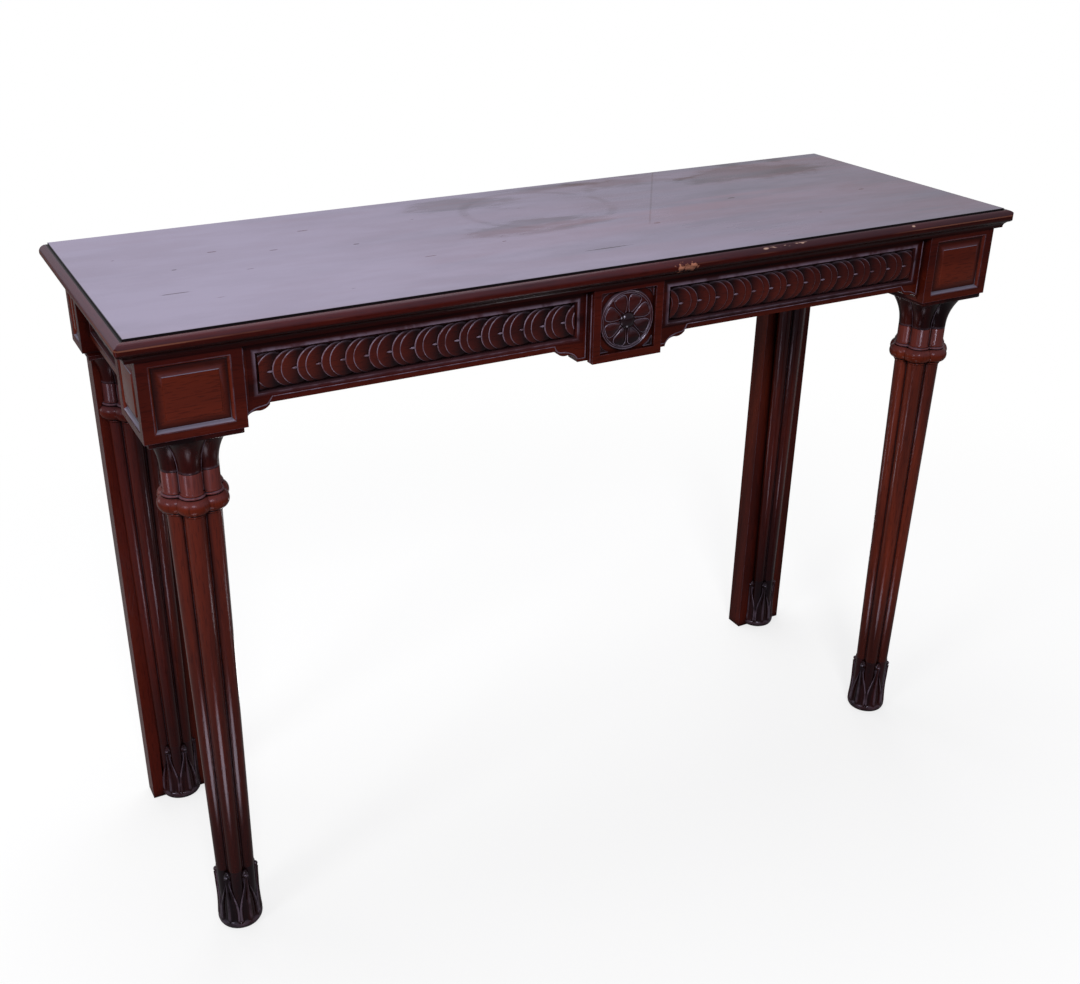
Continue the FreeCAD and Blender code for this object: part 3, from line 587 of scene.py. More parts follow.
def nosing_material(name, along, bloom_and_sheen):
    """Polished nosing: a near-black quirk, painted shadow with dirt; its lower part painted dark as shade;
    streaks of wear along it that also paint a highlight on its crest; and a chip of raw wood.
    """
    colours = bpy.context.scene.pier_colours
    material, shader, place, aged = polished_wood(name, along, 0.44, edge=0.3, hollow=0.9, roughness=0.16,
                                                  specular=0.11, bloom_and_sheen=bloom_and_sheen, streaks=0.6)
    x, y, z = place.split()
    # Painted shade: the nosing below its round is darkened towards the body tone
    colour = z.ranged(COVE_TOP, COVE_TOP - 0.0025).mix(aged.outputs["Color"], rgba(colours.body, 0.30))
    streak = place.noise(18.0, 3.0, (0.25, 0.25, 1)).ranged(0.46, 0.60, 0.0, 0.65)
    # Wear and painted highlight: a broken lighter red line along the crest
    colour = (abs(z - NOSING_CREST).ranged(0.0011, 0.0003) * streak).mix(colour, RUBBED_AND_GLINT_RED)
    for centre, reach, threshold in WORN_NOSING:
        near = place.away_from(centre, (0.0016 / reach, 0.6, 1)).ranged(0.0016, 0.0008)
        grit = place.noise(260.0, 2.0, (0.35, 1, 1)).ranged(threshold - 0.10, threshold)
        colour = (near * grit).mix(colour, WORN_GREY)
    ragged = (place.noise(170.0, 5.0) - 0.5) * 0.030
    chip = (place.away_from(CHIP, (0.42, 0.6, 1.25)) + ragged).ranged(0.0062, 0.0050)
    fibre = place.noise(240.0, 3.0, (0.3, 1, 1)).ranged(0.38, 0.62)
    colour = chip.mix(colour, fibre.mix(rgba(colours.raw_wood), rgba(colours.raw_wood, 0.38)))
    # Painted shadow with dirt: near black along the quirk, high on the nosing just outside the field
    quirk = z.ranged(0.8272, 0.8277) * beyond_field(x, y).ranged(0.0032, 0.0022)
    feed(shader.inputs["Base Color"], quirk.mix(colour, rgba(colours.quirk)))
    return material


# material, grain, brightness, and what differs from the plain polish
WOODS = {
    "rail": ("rail", "x", 0.48, dict(bloom_and_sheen=0.4, streaks=0.5, shade=0.85)),
    "end": ("end_rail", "y", 0.48, dict(bloom_and_sheen=0.4, streaks=0.5)),
    "block": ("block", "x", 0.48, dict(edge=0.4, streaks=0.25, shade=0.85)),
    "panel": ("panel", "x", 0.60, dict(edge=0.8, bloom_and_sheen=1.0, streaks=0.2, shade=0.95, roughness=0.14,
                                       specular=0.20)),
    "moulding": ("moulding", "x", 0.36, dict(bloom_and_sheen=0.12, shade=0.8)),
    "moulding_end": ("end_moulding", "y", 0.36, dict(bloom_and_sheen=0.12)),
    "carved": ("carved", "x", 0.54, dict(hollow=1.0, hollow_reach=0.008, roughness=0.12, specular=0.30,
                                         bloom_and_sheen=0.06, streaks=0.4, shade=0.8, sunk_shade=0.2)),
    "rosette": ("rosette", "x", 0.44, dict(hollow=0.6, hollow_reach=0.005, roughness=0.14, specular=0.34,
                                           bloom_and_sheen=0.25, shade=0.75)),
    "boss": ("boss", "x", 0.0, dict(hollow=0.2, roughness=0.10, specular=0.45, shade=0.15)),
    "shaft": ("shaft", "z", 0.60, dict(hollow=1.0, hollow_reach=0.014, roughness=0.12, specular=0.26,
                                       streaks=0.6, low_shade=0.65)),
    "pilaster": ("pilaster", "z", 0.58, dict(edge=0.4, hollow=0.9, hollow_reach=0.02, streaks=0.6)),
    "collar": ("collar", "z", 0.62, dict(hollow=1.0, roughness=0.15, bloom_and_sheen=0.10, streaks=0.3)),
    "capital": ("capital", "z", 0.40, dict(hollow=1.0, roughness=0.18, specular=0.14, shade=0.55)),
    "foot": ("foot", "z", 0.12, dict(hollow=0.9, hollow_reach=0.010, roughness=0.14, specular=0.36,
                                     bloom_and_sheen=0.10, shade=0.5)),
    "under": ("unpolished", "x", 0.40, dict(edge=0.2, roughness=0.65, specular=0.1)),
}


def make_materials():
    global MAHOGANY, POLISH_AGE_AND_SHADE, WOOD
    MAHOGANY = mahogany_group()
    POLISH_AGE_AND_SHADE = age_and_shade_group()
    WOOD = {key: polished_wood("mahogany_" + name, GRAIN[grain], brightness, **how)[0]
            for key, (name, grain, brightness, how) in WOODS.items()}
    # The end nosing gets more of the painted sheen on its upward faces than the front one
    WOOD["nosing"] = nosing_material("mahogany_nosing", GRAIN["x"], 0.10)
    WOOD["nosing_end"] = nosing_material("mahogany_end_nosing", GRAIN["y"], 0.30)
    WOOD["pine"] = pine_material()
    WOOD["steel"] = steel_material()
    WOOD["top"] = top_material()


def pine_material():
    base = bpy.context.scene.pier_colours.pine
    material, shader, place = shader_material("pine_unpolished")
    wood = figured(place, GRAIN["x"], rgba(base, 0.55), rgba(base), rgba(base, 1.2))
    feed(shader.inputs["Base Color"], wood.outputs["Color"])
    shader.inputs["Roughness"].default_value = 0.8
    return material


def steel_material():
    material, shader, place = shader_material("screw_steel")
    rust = place.noise(400.0, roughness=0.5)
    feed(shader.inputs["Base Color"], rust.mix(rgba(bpy.context.scene.pier_colours.steel), RUST))
    feed(shader.inputs["Roughness"], rust.ranged(0.3, 0.7, 0.35, 0.6))
    shader.inputs["Metallic"].default_value = 1.0
    return material


TOP_LEVEL = 0.83
RING = ((0.0256, 0.0850, TOP_LEVEL), (9.6, 10.6, 1))
# x, y and how tightly each patch is drawn in along X and Y
WIPED = ((-0.045, 0.150, 9, 22), (0.21, 0.172, 7, 26), (-0.035, 0.012, 9, 30), (0.10, 0.185, 8, 40),
         (0.44, 0.15, 6, 18))
# x, y, half length and half width
NICKS = ((-0.51, -0.07, 0.030, 0.0022), (-0.47, -0.105, 0.012, 0.0016), (-0.30, 0.12, 0.008, 0.0016),
         (-0.36, 0.05, 0.006, 0.0014), (-0.20, -0.06, 0.010, 0.0012), (0.02, -0.125, 0.040, 0.0014),
         (-0.49, 0.02, 0.004, 0.0020), (-0.545, 0.09, 0.004, 0.0016), (-0.43, 0.075, 0.005, 0.0014),
         (-0.41, -0.015, 0.007, 0.0013), (-0.26, 0.03, 0.004, 0.0018), (-0.15, 0.11, 0.006, 0.0014),
         (-0.33, -0.14, 0.008, 0.0013), (-0.09, -0.04, 0.004, 0.0016), (0.13, -0.05, 0.005, 0.0016),
         (0.30, 0.02, 0.006, 0.0014), (0.36, -0.10, 0.004, 0.0018), (0.50, -0.02, 0.005, 0.0014))
SCRATCH_X, SCRATCH_Y = 0.29, 0.2075        # where the scratch starts, at the back edge
SCRATCH_SLOPE = 0.1906 / 0.2859


def top_material():
    """Flat polished top: a lavender film over the mahogany, partly dust on old polish and partly a painted
    reflection, thinner towards the right and back; wiped patches, a ring, scuffs and nicks; the quirk round
    the field painted near black as its shadow.
    """
    colours = bpy.context.scene.pier_colours
    material, shader, place = shader_material("polished_top")
    wood = figured(place, GRAIN["x"], *mahogany_tones())
    cloud = place.noise(4.0, 5.0, (0.7, 1.4, 1), 0.6)
    fine = place.noise(45.0, 4.0, (0.25, 1, 1), 0.6)
    smear = place.noise(16.0, 5.0, (0.5, 1.3, 1), 0.65)
    x, y = place.split()[:2]
    # Painted reflection: the film is laid thicker at the left and front and thinner towards the right and
    # back, as the light it stands for falls off
    cover = (x + y * 0.3).ranged(-0.60, 0.66, 0.97, 0.50)
    cover = cover + cloud.ranged(0.35, 0.65, -0.07, 0.03) + fine.ranged(0.35, 0.65, -0.035, 0.035)
    for patch_x, patch_y, tight_x, tight_y in WIPED:
        patch = place.away_from((patch_x, patch_y, TOP_LEVEL), (tight_x, tight_y, 1))
        cover = cover - (patch + smear.ranged(0.3, 0.7, -0.45, 0.45)).ranged(1.0, 0.45, 0.0, 0.24)
    ring = abs(place.away_from(*RING) - 1.0).ranged(0.10, 0.02, 0.0, 0.13)
    cover = cover - ring * smear.ranged(0.35, 0.6)
    for nick_x, nick_y, length, width in NICKS:
        nick = place.away_from((nick_x, nick_y, TOP_LEVEL), (1 / length, 1 / width, 1))
        cover = cover - (nick + fine.ranged(0.3, 0.7, -0.5, 0.5)).ranged(1.0, 0.5, 0.0, 0.5)
    off = abs(x - ((y - SCRATCH_Y) * SCRATCH_SLOPE + SCRATCH_X))
    scratch = off.ranged(0.0022, 0.0008) * y.ranged(-0.06, -0.03)
    cover = maths("SUBTRACT", cover, scratch * 0.16, clamp=True) * looks_up(place.tree, 0.3, 0.8)
    haze_and_sheen = cover.mix(wood.outputs["Color"], rgba(colours.haze_and_sheen))
    # Painted shadow: a near-black line just inside the edge of the field, at the quirk
    haze_and_sheen = beyond_field(x, y).ranged(-0.0012, -0.0004).mix(haze_and_sheen, rgba(colours.quirk))
    aged = add_node(place.tree, "ShaderNodeGroup", node_tree=POLISH_AGE_AND_SHADE, in_Color=haze_and_sheen,
                    in_Rubbed=rgba(colours.worn_and_lit_edge), in_Edge=0.0, in_Hollow=0.0, in_Vector=place)
    feed(shader.inputs["Base Color"], aged.outputs["Color"])
    feed(shader.inputs["Roughness"], cover.ranged(0.5, 0.95, 0.22, 0.42))
    shader.inputs["Specular IOR Level"].default_value = 0.35
    shader.inputs["Specular Tint"].default_value = TOP_TINT
    return material


# ---------------------------------------------------------------- legs
SHAFT_FOOT, SHAFT_MIDDLE, SHAFT_TOP = 26.3 * MM, 29.8 * MM, 33.3 * MM      # radii of a shaft's cluster
COLLAR_SEAT, NECK, BELL_LIP = 33.0 * MM, 35.0 * MM, 50.0 * MM              # radii above the shaft
GROOVE_FILLET = 1.1 * MM    # how far back from its bottom a groove is flattened
SCRIBE = 0.7 * MM           # depth of the scribed line between the neck and the capital
CORE = 16 * MM              # radius of the round core between turned lobes
COLLAR_RISE = 30 * MM       # from the foot of a collar to its plain neck
ABACUS_HALF, ABACUS_THICK = 51.75 * MM, 6 * MM
REAR_SINK = 8.0 * MM        # axis of a rear leg behind the face of its pilaster
REAR_LEAN = 1.7 * MM        # a rear leg's axis nearer to the face of the pilaster at the foot
# beads of a collar: start and end as shares of its rise, radius and swell in mm, steps
COLLAR_BEADS = ((0.01, 0.12, 33.3, 1.6, 5), (0.14, 0.80, 34.2, 8.8, 14), (0.81, 0.90, 36.6, 1.1, 4),
                (0.91, 0.98, 35.6, 0.8, 4))
FOOT_RING = 28.5 * MM
# ring at the floor: height in mm, share of its radius
FOOT_PROFILE = ((0, 0.86), (1.5, 0.94), (4.0, 0.99), (7.0, 1.015), (9.5, 1.012), (11.5, 0.98), (12.5, 0.92),
                (15, 0.6))
LEAF_LOW, LEAF_HIGH, LEAF_ROWS = 9.0 * MM, 80.0 * MM, 20
LEAF_THICK = 7 * MM
LEAF_HALF_ANGLE = math.radians(30.5)
LEAF_BALL, LEAF_BALL_HIGH = 3.5 * MM, 84 * MM       # radius of the ball at a leaf's tip, and its height
# rims, midrib and hollows of a leaf: from and to as shares of its half width, push outward
LEAF_RIBS = ((0.80, 1.10, 1.0), (0.0, 0.13, 0.9), (0.28, 0.66, -1.3))


def cluster(name, centre, stations, turn):
    """Six lobes round an axis, drawn up through (height, radius) stations."""
    nothing_selected()
    low, radius = stations[0]
    ring = radius * (1 - LOBE_SHARE)
    bpy.ops.mesh.primitive_circle_add(vertices=48, radius=radius * LOBE_SHARE, location=(ring, 0, 0))
    piece = settle(name)
    edit()
    half = math.pi / LOBES
    for side in (1, -1):
        cut_off((0, 0, 0), (-math.sin(half), side * math.cos(half), 0), fill=False)
    pick("VERT", lambda v: v.co.x < ring * 0.9)
    bpy.ops.mesh.delete(type="VERT")
    for i in range(1, LOBES):
        pick("VERT", lambda v: abs(math.atan2(v.co.y, v.co.x)) < half + 0.001 and v.co.x > 0)
        bpy.ops.mesh.duplicate()
        spin_selected(360.0 / LOBES * i)
    pick_all()
    bpy.ops.mesh.remove_doubles(threshold=radius * 0.004)
    pick_all()
    bpy.ops.mesh.edge_face_add()
    pick("VERT", lambda v: v.co.length < radius * GROOVE_SHARE)
    bpy.ops.mesh.bevel(offset=GROOVE_FILLET, segments=1, affect="VERTICES")
    pick_all()
    spin_selected(turn)
    shift(*centre, low)
    pick("FACE", lambda f: True)
    raise_stations(centre, stations)
    close_up()
    return piece


def lobed_turning(name, centre, stations, turn, beaded, face=None):
    """Six turned lobes round a core, with a fine bead in each groove above the beaded height."""
    x, y = centre
    ends = (stations[0][0], stations[-1][0])
    pieces = [turned_piece(name + "_core", centre, [(z, CORE) for z in ends], 24)]
    lobe = [(z, radius - LOBE_RING) for z, radius in stations]
    half = math.pi / LOBES
    for i in range(LOBES):
        angle = math.radians(turn) + 2 * half * i
        spot = (x + LOBE_RING * math.cos(angle), y + LOBE_RING * math.sin(angle))
        pieces.append(turned_piece("%s_lobe_%d" % (name, i), spot, lobe, 40))
        line = []
        for z, radius in [station for station in lobe if station[0] >= beaded]:
            away = LOBE_RING * math.cos(half) + math.sqrt(radius ** 2 - (LOBE_RING * math.sin(half)) ** 2)
            line.append((x + away * math.cos(angle + half), y + away * math.sin(angle + half), z))
        bead = bead_line("%s_bead_%d" % (name, i), line, bpy.context.scene.pier_sizes.groove_bead)
        # The groove bead is lightened all along: wear and painted highlight
        note_wear_highlight_and_shade(bead, lambda co: 0.5)
        pieces.append(bead)
    if face is not None:
        for piece in pieces:
            cut_back(piece, face)
    return joined(name, pieces)


def in_groove(centre, radius_at, slack=0.6 * MM):
    """Test for the fillet that runs down the grooves of a cluster."""
    def test(co):
        radius = radius_at(co.z)
        away = math.hypot(co.x - centre[0], co.y - centre[1])
        return radius * 0.5 < away < radius * GROOVE_SHARE + slack
    return test


def arc_stations(low, high, radius, swell, steps):
    """Half-round bead between two heights, standing out from a radius."""
    angles = [math.pi * i / steps for i in range(steps + 1)]
    middle, half = (low + high) / 2, (high - low) / 2
    return [(middle - half * math.cos(angle), radius + swell * math.sin(angle)) for angle in angles]


def collar_stations(low, high):
    """Fillet, fat torus and pair of fillets, then the plain neck up to its scribed line."""
    rows = [(low, COLLAR_SEAT)]
    for start, end, radius, swell, steps in COLLAR_BEADS:
        foot, crown = low + COLLAR_RISE * start, low + COLLAR_RISE * end
        rows += arc_stations(foot, crown, radius * MM, swell * MM, steps)
    return rows + [(low + COLLAR_RISE, NECK), (high - 0.6 * MM, NECK), (high, NECK - SCRIBE)]


def capital_stations(low, high, steps=12):
    """Scribed line, then the bell that flares up to its lip."""
    rows = [(low, NECK - SCRIBE), (low + 0.6 * MM, NECK)]
    for i in range(1, steps + 1):
        t = i / steps
        rows.append((low + (high - low) * t, NECK + (BELL_LIP - NECK) * t ** 2.3))
    return rows


def leg_axis(where, side):
    """Axis of a leg at its top: under the middle of its block, sunk in the pilaster at the back."""
    low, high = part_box("leg_shaft_front_" + side)
    x = (low.x + high.x) / 2
    if where == "front":
        return x, (low.y + high.y) / 2
    board_low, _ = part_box("rear_pilaster_" + side)
    return x, board_low.y + REAR_SINK


def leaf_width(z):
    """Half width of a leaf over half of its share of the ring."""
    t = clamped((z - 0.30 * LEAF_HIGH) / (LEAF_HIGH * 0.70))
    return 0.17 + 0.83 * (0.5 + 0.5 * math.cos(math.pi * t)) ** 0.85


def leaf_waist(z):
    """How far a leaf draws in between its foot and its tip."""
    return 1.0 - 0.06 * math.sin(math.pi * (z - LEAF_LOW) / (LEAF_HIGH - LEAF_LOW))


def leaf_blade(name, radius):
    """Pointed leaf on the +X side of the axis, with raised rims and a midrib."""
    nothing_selected()
    bpy.ops.mesh.primitive_circle_add(vertices=144, radius=radius, location=(0, 0, LEAF_LOW))
    leaf = settle(name)
    edit()
    pick("VERT", lambda v: abs(math.atan2(v.co.y, v.co.x)) > LEAF_HALF_ANGLE)
    bpy.ops.mesh.delete(type="VERT")
    pick_all()
    step = (LEAF_HIGH - LEAF_LOW) / LEAF_ROWS
    rows = [LEAF_LOW + step * i for i in range(LEAF_ROWS + 1)]
    for below, z in zip(rows, rows[1:]):
        draw_out(0, 0, step)
        stretch(leaf_waist(z) / leaf_waist(below), leaf_width(z) / leaf_width(below), 1, (0, 0, z))
    for z in rows:
        half = radius * 0.5 * leaf_width(z)
        height = bpy.context.scene.pier_sizes.leaf_relief * min(1.0, half / (6 * MM))
        if z == LEAF_LOW:
            height *= 0.35
        for low, high, push in LEAF_RIBS:
            pick("VERT", lambda v: abs(v.co.z - z) < step * 0.2 and low <= abs(v.co.y) / half <= high)
            shift(push * height, 0, 0)
    leave_edit()
    note_wear_highlight_and_shade(leaf, lambda co: leaf_worn_and_lit(co, radius), 0.5)
    thick = leaf.modifiers.new("thickness", "SOLIDIFY")
    thick.thickness = LEAF_THICK
    thick.offset = -1 if sum(p.normal.x * p.area for p in leaf.data.polygons) > 0 else 1
    bpy.context.view_layer.objects.active = leaf
    bpy.ops.object.modifier_apply(modifier=thick.name)
    return leaf


# Rims and midrib of a leaf, worn and given a painted highlight
def leaf_worn_and_lit(co, radius):
    share = abs(co.y) / (radius * 0.5 * leaf_width(co.z))
    if co.z < LEAF_LOW + 5 * MM:
        return 0.0
    return 0.8 if share > 0.82 else 0.55 if share < 0.10 else 0.0


def leaf_tip(name, place, radius):
    """Ball at the tip of a leaf, set in a small pointed hood."""
    x, y, z = place
    ball = new_ball(name, place, radius, 20, 12)
    # The upper outer side of the ball is lightened: wear and painted highlight
    note_wear_highlight_and_shade(ball, lambda co: co.x > x + radius * 0.80 and co.z > z, 0.4)
    hood = new_ball(name + "_hood", (x - radius * 0.9, y, z), radius * 1.45, 20, 12, squash=(0.9, 1, 1))
    edit()
    pick("VERT", lambda v: v.co.z > z + radius * 1.25)
    shift(radius * 0.25, 0, radius * 0.75)
    pick("VERT", lambda v: v.co.z < z - radius * 1.1)
    shift(0, 0, -radius * 0.9)
    leave_edit()
    return joined(name, [ball, hood])


def build_foot(name, centre, turn, top):
    """Base ring, the cluster running down into it and a leaf in every groove."""
    profile = [(z * MM, FOOT_RING * share) for z, share in FOOT_PROFILE]
    ring = turned_piece(name + "_ring", centre, profile, 96)
    # A band of the ring lightened: wear and painted highlight
    note_wear_highlight_and_shade(ring, lambda co: 5.0 * MM < co.z < 10.0 * MM, 0.25)
    stations = [(8 * MM, SHAFT_FOOT * 0.95), (30 * MM, SHAFT_FOOT * 0.96), (top, SHAFT_FOOT)]
    core = cluster(name + "_core", centre, stations, turn)
    leaf = leaf_blade(name + "_leaf", FOOT_RING * 0.985)
    tip = leaf_tip(name + "_tip", (FOOT_RING * 0.875, 0, LEAF_BALL_HIGH), LEAF_BALL)
    model = joined(name + "_leaf", [leaf, tip])
    angles = [math.radians(turn + 180.0 / LOBES + i * 360.0 / LOBES) for i in range(LOBES)]
    moves = [Matrix.Translation((*centre, 0)) @ Matrix.Rotation(angle, 4, "Z") for angle in angles]
    return joined(name, [ring, core] + repeated(model, moves))


def build_abacus(name, low, high):
    plate = new_box(name, low, high)
    stepped_face(plate, Vector((0, 0, -1)), ((2.5, 1.0),))
    ease(plate, bpy.context.scene.pier_sizes.edge_round)
    return plate


def build_leg(where, side):
    """Foot, shaft, collar and capital of one leg."""
    turn = FIRST_LOBE if side == "left" else 180.0 - FIRST_LOBE
    centre = leg_axis(where, side)
    tag = "_%s_%s" % (where, side)
    foot_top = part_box("leg_foot" + tag)[1].z
    collar_low, collar_high = (corner.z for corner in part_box("leg_collar" + tag))
    cap_low, cap_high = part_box("leg_capital" + tag)
    pilaster_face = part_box("leg_shaft" + tag)[1].y
    face = pilaster_face if where == "rear" else None

    rise = collar_low - foot_top
    stations = [(foot_top, SHAFT_FOOT), (foot_top + rise / 2, SHAFT_MIDDLE), (collar_low, SHAFT_TOP)]
    shaft = cluster("shaft" + tag, centre, stations, turn)
    taper = (SHAFT_TOP - SHAFT_FOOT) / rise
    # The grooves' fillets lightened a little: wear and painted highlight
    note_wear_highlight_and_shade(shaft, in_groove(centre, lambda z: SHAFT_FOOT + taper * (z - foot_top)), 0.12)

    neck_low = collar_low + COLLAR_RISE
    stations = collar_stations(collar_low, collar_high)
    collar = lobed_turning("collar" + tag, centre, stations, turn, neck_low, face)
    # The lower of the pair of fillets above the torus lightened: wear and painted highlight
    note_wear_highlight_and_shade(collar, lambda co: abs(co.z - neck_low + 4.3 * MM) < 1.8 * MM, 0.35)

    bell_top = cap_high.z - ABACUS_THICK
    stations = capital_stations(cap_low.z, bell_top)
    bell = lobed_turning("bell" + tag, centre, stations, turn, cap_low.z, face)
    # The scribed line at the foot of the bell lightened: wear and painted highlight
    note_wear_highlight_and_shade(bell, lambda co: co.z < cap_low.z + 0.7 * MM, 0.3)

    foot_centre = centre if where == "front" else (centre[0], centre[1] - REAR_LEAN)
    foot = build_foot("foot" + tag, foot_centre, turn, foot_top)
    plate = build_abacus("plate" + tag, (centre[0] - ABACUS_HALF, cap_low.y, bell_top),
                         (centre[0] + ABACUS_HALF, cap_high.y, cap_high.z))
    if where == "rear":
        lean_back(shaft, foot_top, collar_low)
        for piece in (shaft, foot):
            cut_back(piece, face)
    capital = joined("capital" + tag, [bell, plate])
    for piece, node in ((foot, "foot"), (shaft, "shaft"), (collar, "collar"), (capital, "capital")):
        smooth(piece, 50)
        slot = "carved_mahogany" if node == "foot" else "turned_mahogany"
        finish_piece(piece, WOOD[node], slot, "leg_" + node + tag)


def lean_back(shaft, low, high):
    """Sets the foot of a rear shaft forward, so that it keeps its share of the pilaster's face."""
    only(shaft)
    edit()
    for z in (low, (low + high) / 2):
        pick("VERT", lambda v: abs(v.co.z - z) < 1 * MM)
        shift(0, -REAR_LEAN * (high - z) / (high - low), 0)
    leave_edit()


# ---------------------------------------------------------------- frieze
FRAME_STEPS = ((0.01, 0.4), (4.2, 0.2), (0.6, -0.3), (3.6, 1.2), (0.7, 0), (0.5, -0.6), (1.9, -3.6),
               (0.3, 0.4), (0.25, 0), (0.35, -4.0))
FRAME_RISE = 1.5 * MM       # height of the frame's crest over its blank
LOWER_MEMBER, LOWER_SHARE = 13.0 * MM, 0.62         # its width as first worked, and what is left of it
UPPER_MEMBER = 9.8 * MM
COIN_THICK = 6.0 * MM
COIN_TILT = 8.0
COIN_PITCH = 27.8 * MM      # length of a repeat, before it is fitted to the field
COIN_LAP = 9.5 * MM         # from the first coin of a repeat to the second
COIN_STEPS = ((0.25, 0.60), (0.35, 0.45), (0.60, 0.35), (1.0, 0.25), (1.6, 0.15), (2.6, 0.05), (4.5, 0.05),
              (6.0, 0.02))
COIN_CREST = COIN_THICK + MM * sum(rise for _, rise in COIN_STEPS)


def build_frieze_frame(node, name, facing):
    """Moulded frame of a strip of coins, its lower member narrower than the others."""
    low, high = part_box(node)
    depth = 0 if abs(facing.x) > 0.5 else 1
    corner_low, corner_high = low.copy(), high.copy()
    face = corner_low if facing[depth] < 0 else corner_high
    face[depth] -= facing[depth] * FRAME_RISE
    piece = new_box(name, corner_low, corner_high)
    stepped_face(piece, facing, FRAME_STEPS)
    edit()
    pick("VERT", lambda v: corner_low.z + 0.001 * MM < v.co.z < corner_low.z + LOWER_MEMBER)
    stretch(1, 1, LOWER_SHARE, (0, 0, corner_low.z))
    leave_edit()
    crest = face[depth] * facing[depth] + FRAME_RISE
    upper = corner_high.z - UPPER_MEMBER
    # Worn crest with painted highlight, stronger on the upper member, which the light from above catches
    note_wear_highlight_and_shade(piece, lambda co: (0.9 if co.z > upper else 0.45) * (co.dot(facing) > crest - 0.1 * MM))
    ease(piece, 0.25 * MM, 1, 30)
    return piece


def coin(name, radius):
    """Coin facing -Y, with a rounded rim, its outward edge towards -X raised."""
    piece = carved_plate(name, 80, radius, COIN_THICK, COIN_STEPS)
    note_wear_highlight_and_shade(piece, lambda co: coin_rim_worn_and_lit(co, radius), 0.9)
    # Painted shade: the coin darkens towards its sunk side, away from the raised outward edge
    note_wear_highlight_and_shade(piece, lambda co: clamped(1.5 * co.x / radius + 0.95), 0.9, "sunk")
    piece.data.transform(Matrix.Rotation(math.radians(COIN_TILT), 4, "Z"))
    return piece


def coin_rim_worn_and_lit(co, radius):
    """Wear on the rim of a coin together with a painted highlight, most on its raised outward side and a
    little more towards the top.
    """
    if not radius - 0.9 * MM < math.hypot(co.x, co.z) < radius - 0.2 * MM:
        return 0.0
    return clamped(0.20 - 0.85 * co.x / radius + 0.15 * co.z / radius, 0.05)


def coin_bead(name, place):
    """Small bud between two coins, pointed outward."""
    bead = new_ball(name, place, 1.5 * MM, 16, 10, turn=(0, QUARTER, 0))
    edit()
    pick_all()
    stretch(2.4, 0.9, 0.85, place)
    pick("VERT", lambda v: v.co.x < place[0] - 1.6 * MM)
    stretch(1, 0.6, 0.55, place)
    leave_edit()
    # Front of the bud lightened: wear and painted highlight
    note_wear_highlight_and_shade(bead, lambda co: co.y < place[1], 0.95)
    return bead


def build_carving(name, width, height, depth):
    """Row of lapped coins, two to a repeat, low corner of its field at the origin, facing -Y."""
    ground = new_box(name + "_ground", (0, depth - 3 * MM, 0), (width, depth, height))
    count = max(2, round(width / COIN_PITCH))
    radius = height / 2
    y = COIN_CREST + radius * math.sin(math.radians(COIN_TILT)) - 0.8 * MM
    starts = [width - (i + 0.5) * width / count for i in range(count + 1)]
    places = [x + radius + lap for x in starts for lap in (0, COIN_LAP)]
    moves = [Matrix.Translation((x, y, radius)) for x in places if x - radius < width - 1 * MM]
    row = joined(name, [ground] + repeated(coin(name + "_coin", radius), moves))
    edit()
    for plane, outward in (((0, 0, 0), (-1, 0, 0)), ((width, 0, 0), (1, 0, 0)), ((0, depth, 0), (0, 1, 0))):
        cut_off(plane, outward)
    leave_edit()
    buds = [x - 1.6 * MM for x in starts[:-1] if x > 5.6 * MM]
    return joined(name, [row] + [coin_bead(name + "_bead", (x, 0.4 * MM, radius)) for x in buds])


def fit_strips(node, tag, model, move, facing, wood):
    """Sets a strip of coins and its frame on the left and, mirrored, on the right."""
    for side in SIDES:
        if side == "right":
            move, facing = MIRROR_X @ move, MIRROR_X.to_3x3() @ facing
        strip = copy_of(model, tag + "coin_carving_" + side, move)
        smooth(strip, 35)
        finish_piece(strip, WOOD["carved"], "carved_mahogany", node + "_carving_" + side)
        border = build_frieze_frame(node + "_frame_" + side, tag + "carving_frame_" + side, facing)
        finish_piece(border, WOOD[wood], "polished_mahogany", node + "_frame_" + side)
    bpy.data.objects.remove(model)


class PIER_OT_frieze(bpy.types.Operator):
    """Carve the coin friezes and work their frames"""
    bl_idname = "pier.frieze"
    bl_label = "Frieze"

    def execute(self, context):
        low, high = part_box("frieze_carving_left")
        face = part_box("front_rail")[0].y
        model = build_carving("coins", high.x - low.x, high.z - low.z, high.y - face)
        fit_strips("frieze", "", model, Matrix.Translation((low.x, face, low.z)), OUT_FRONT, "moulding")
        low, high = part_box("end_carving_left")
        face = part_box("end_rail_left")[0].x
        model = build_carving("end_coins", high.y - low.y, high.z - low.z, high.x - face)
        move = Matrix.Translation((face, high.y, low.z)) @ Matrix.Rotation(-QUARTER, 4, "Z")
        fit_strips("end", "end_", model, move, Vector((-1, 0, 0)), "moulding_end")
        return {"FINISHED"}


# ---------------------------------------------------------------- tablet
ROSE_STEPS = ((0.7, 1.5), (0.9, 0.5), (0.8, -0.4), (0.5, -0.6), (0.5, 0.5), (0.7, 0.2), (0.6, -0.6),
              (0.5, -0.6))
PETAL_STEPS = ((0.3, 0.55), (0.3, 0.15), (0.3, -0.35), (0.25, -0.6), (0.4, 0.4), (0.5, 0.25))
PETALS = 8
PETAL_SEAT = 0.6 * MM       # the petals' foot in front of the tablet's face
PETAL_START, PETAL_MARGIN = 9.5 * MM, 5.2 * MM      # from the centre, and inside the rim of the disc
DISC_THICK, PETAL_THICK = 1.6 * MM, 2.4 * MM
SPANDREL_REACH, SPANDREL_MARGIN = 12 * MM, 0.8 * MM


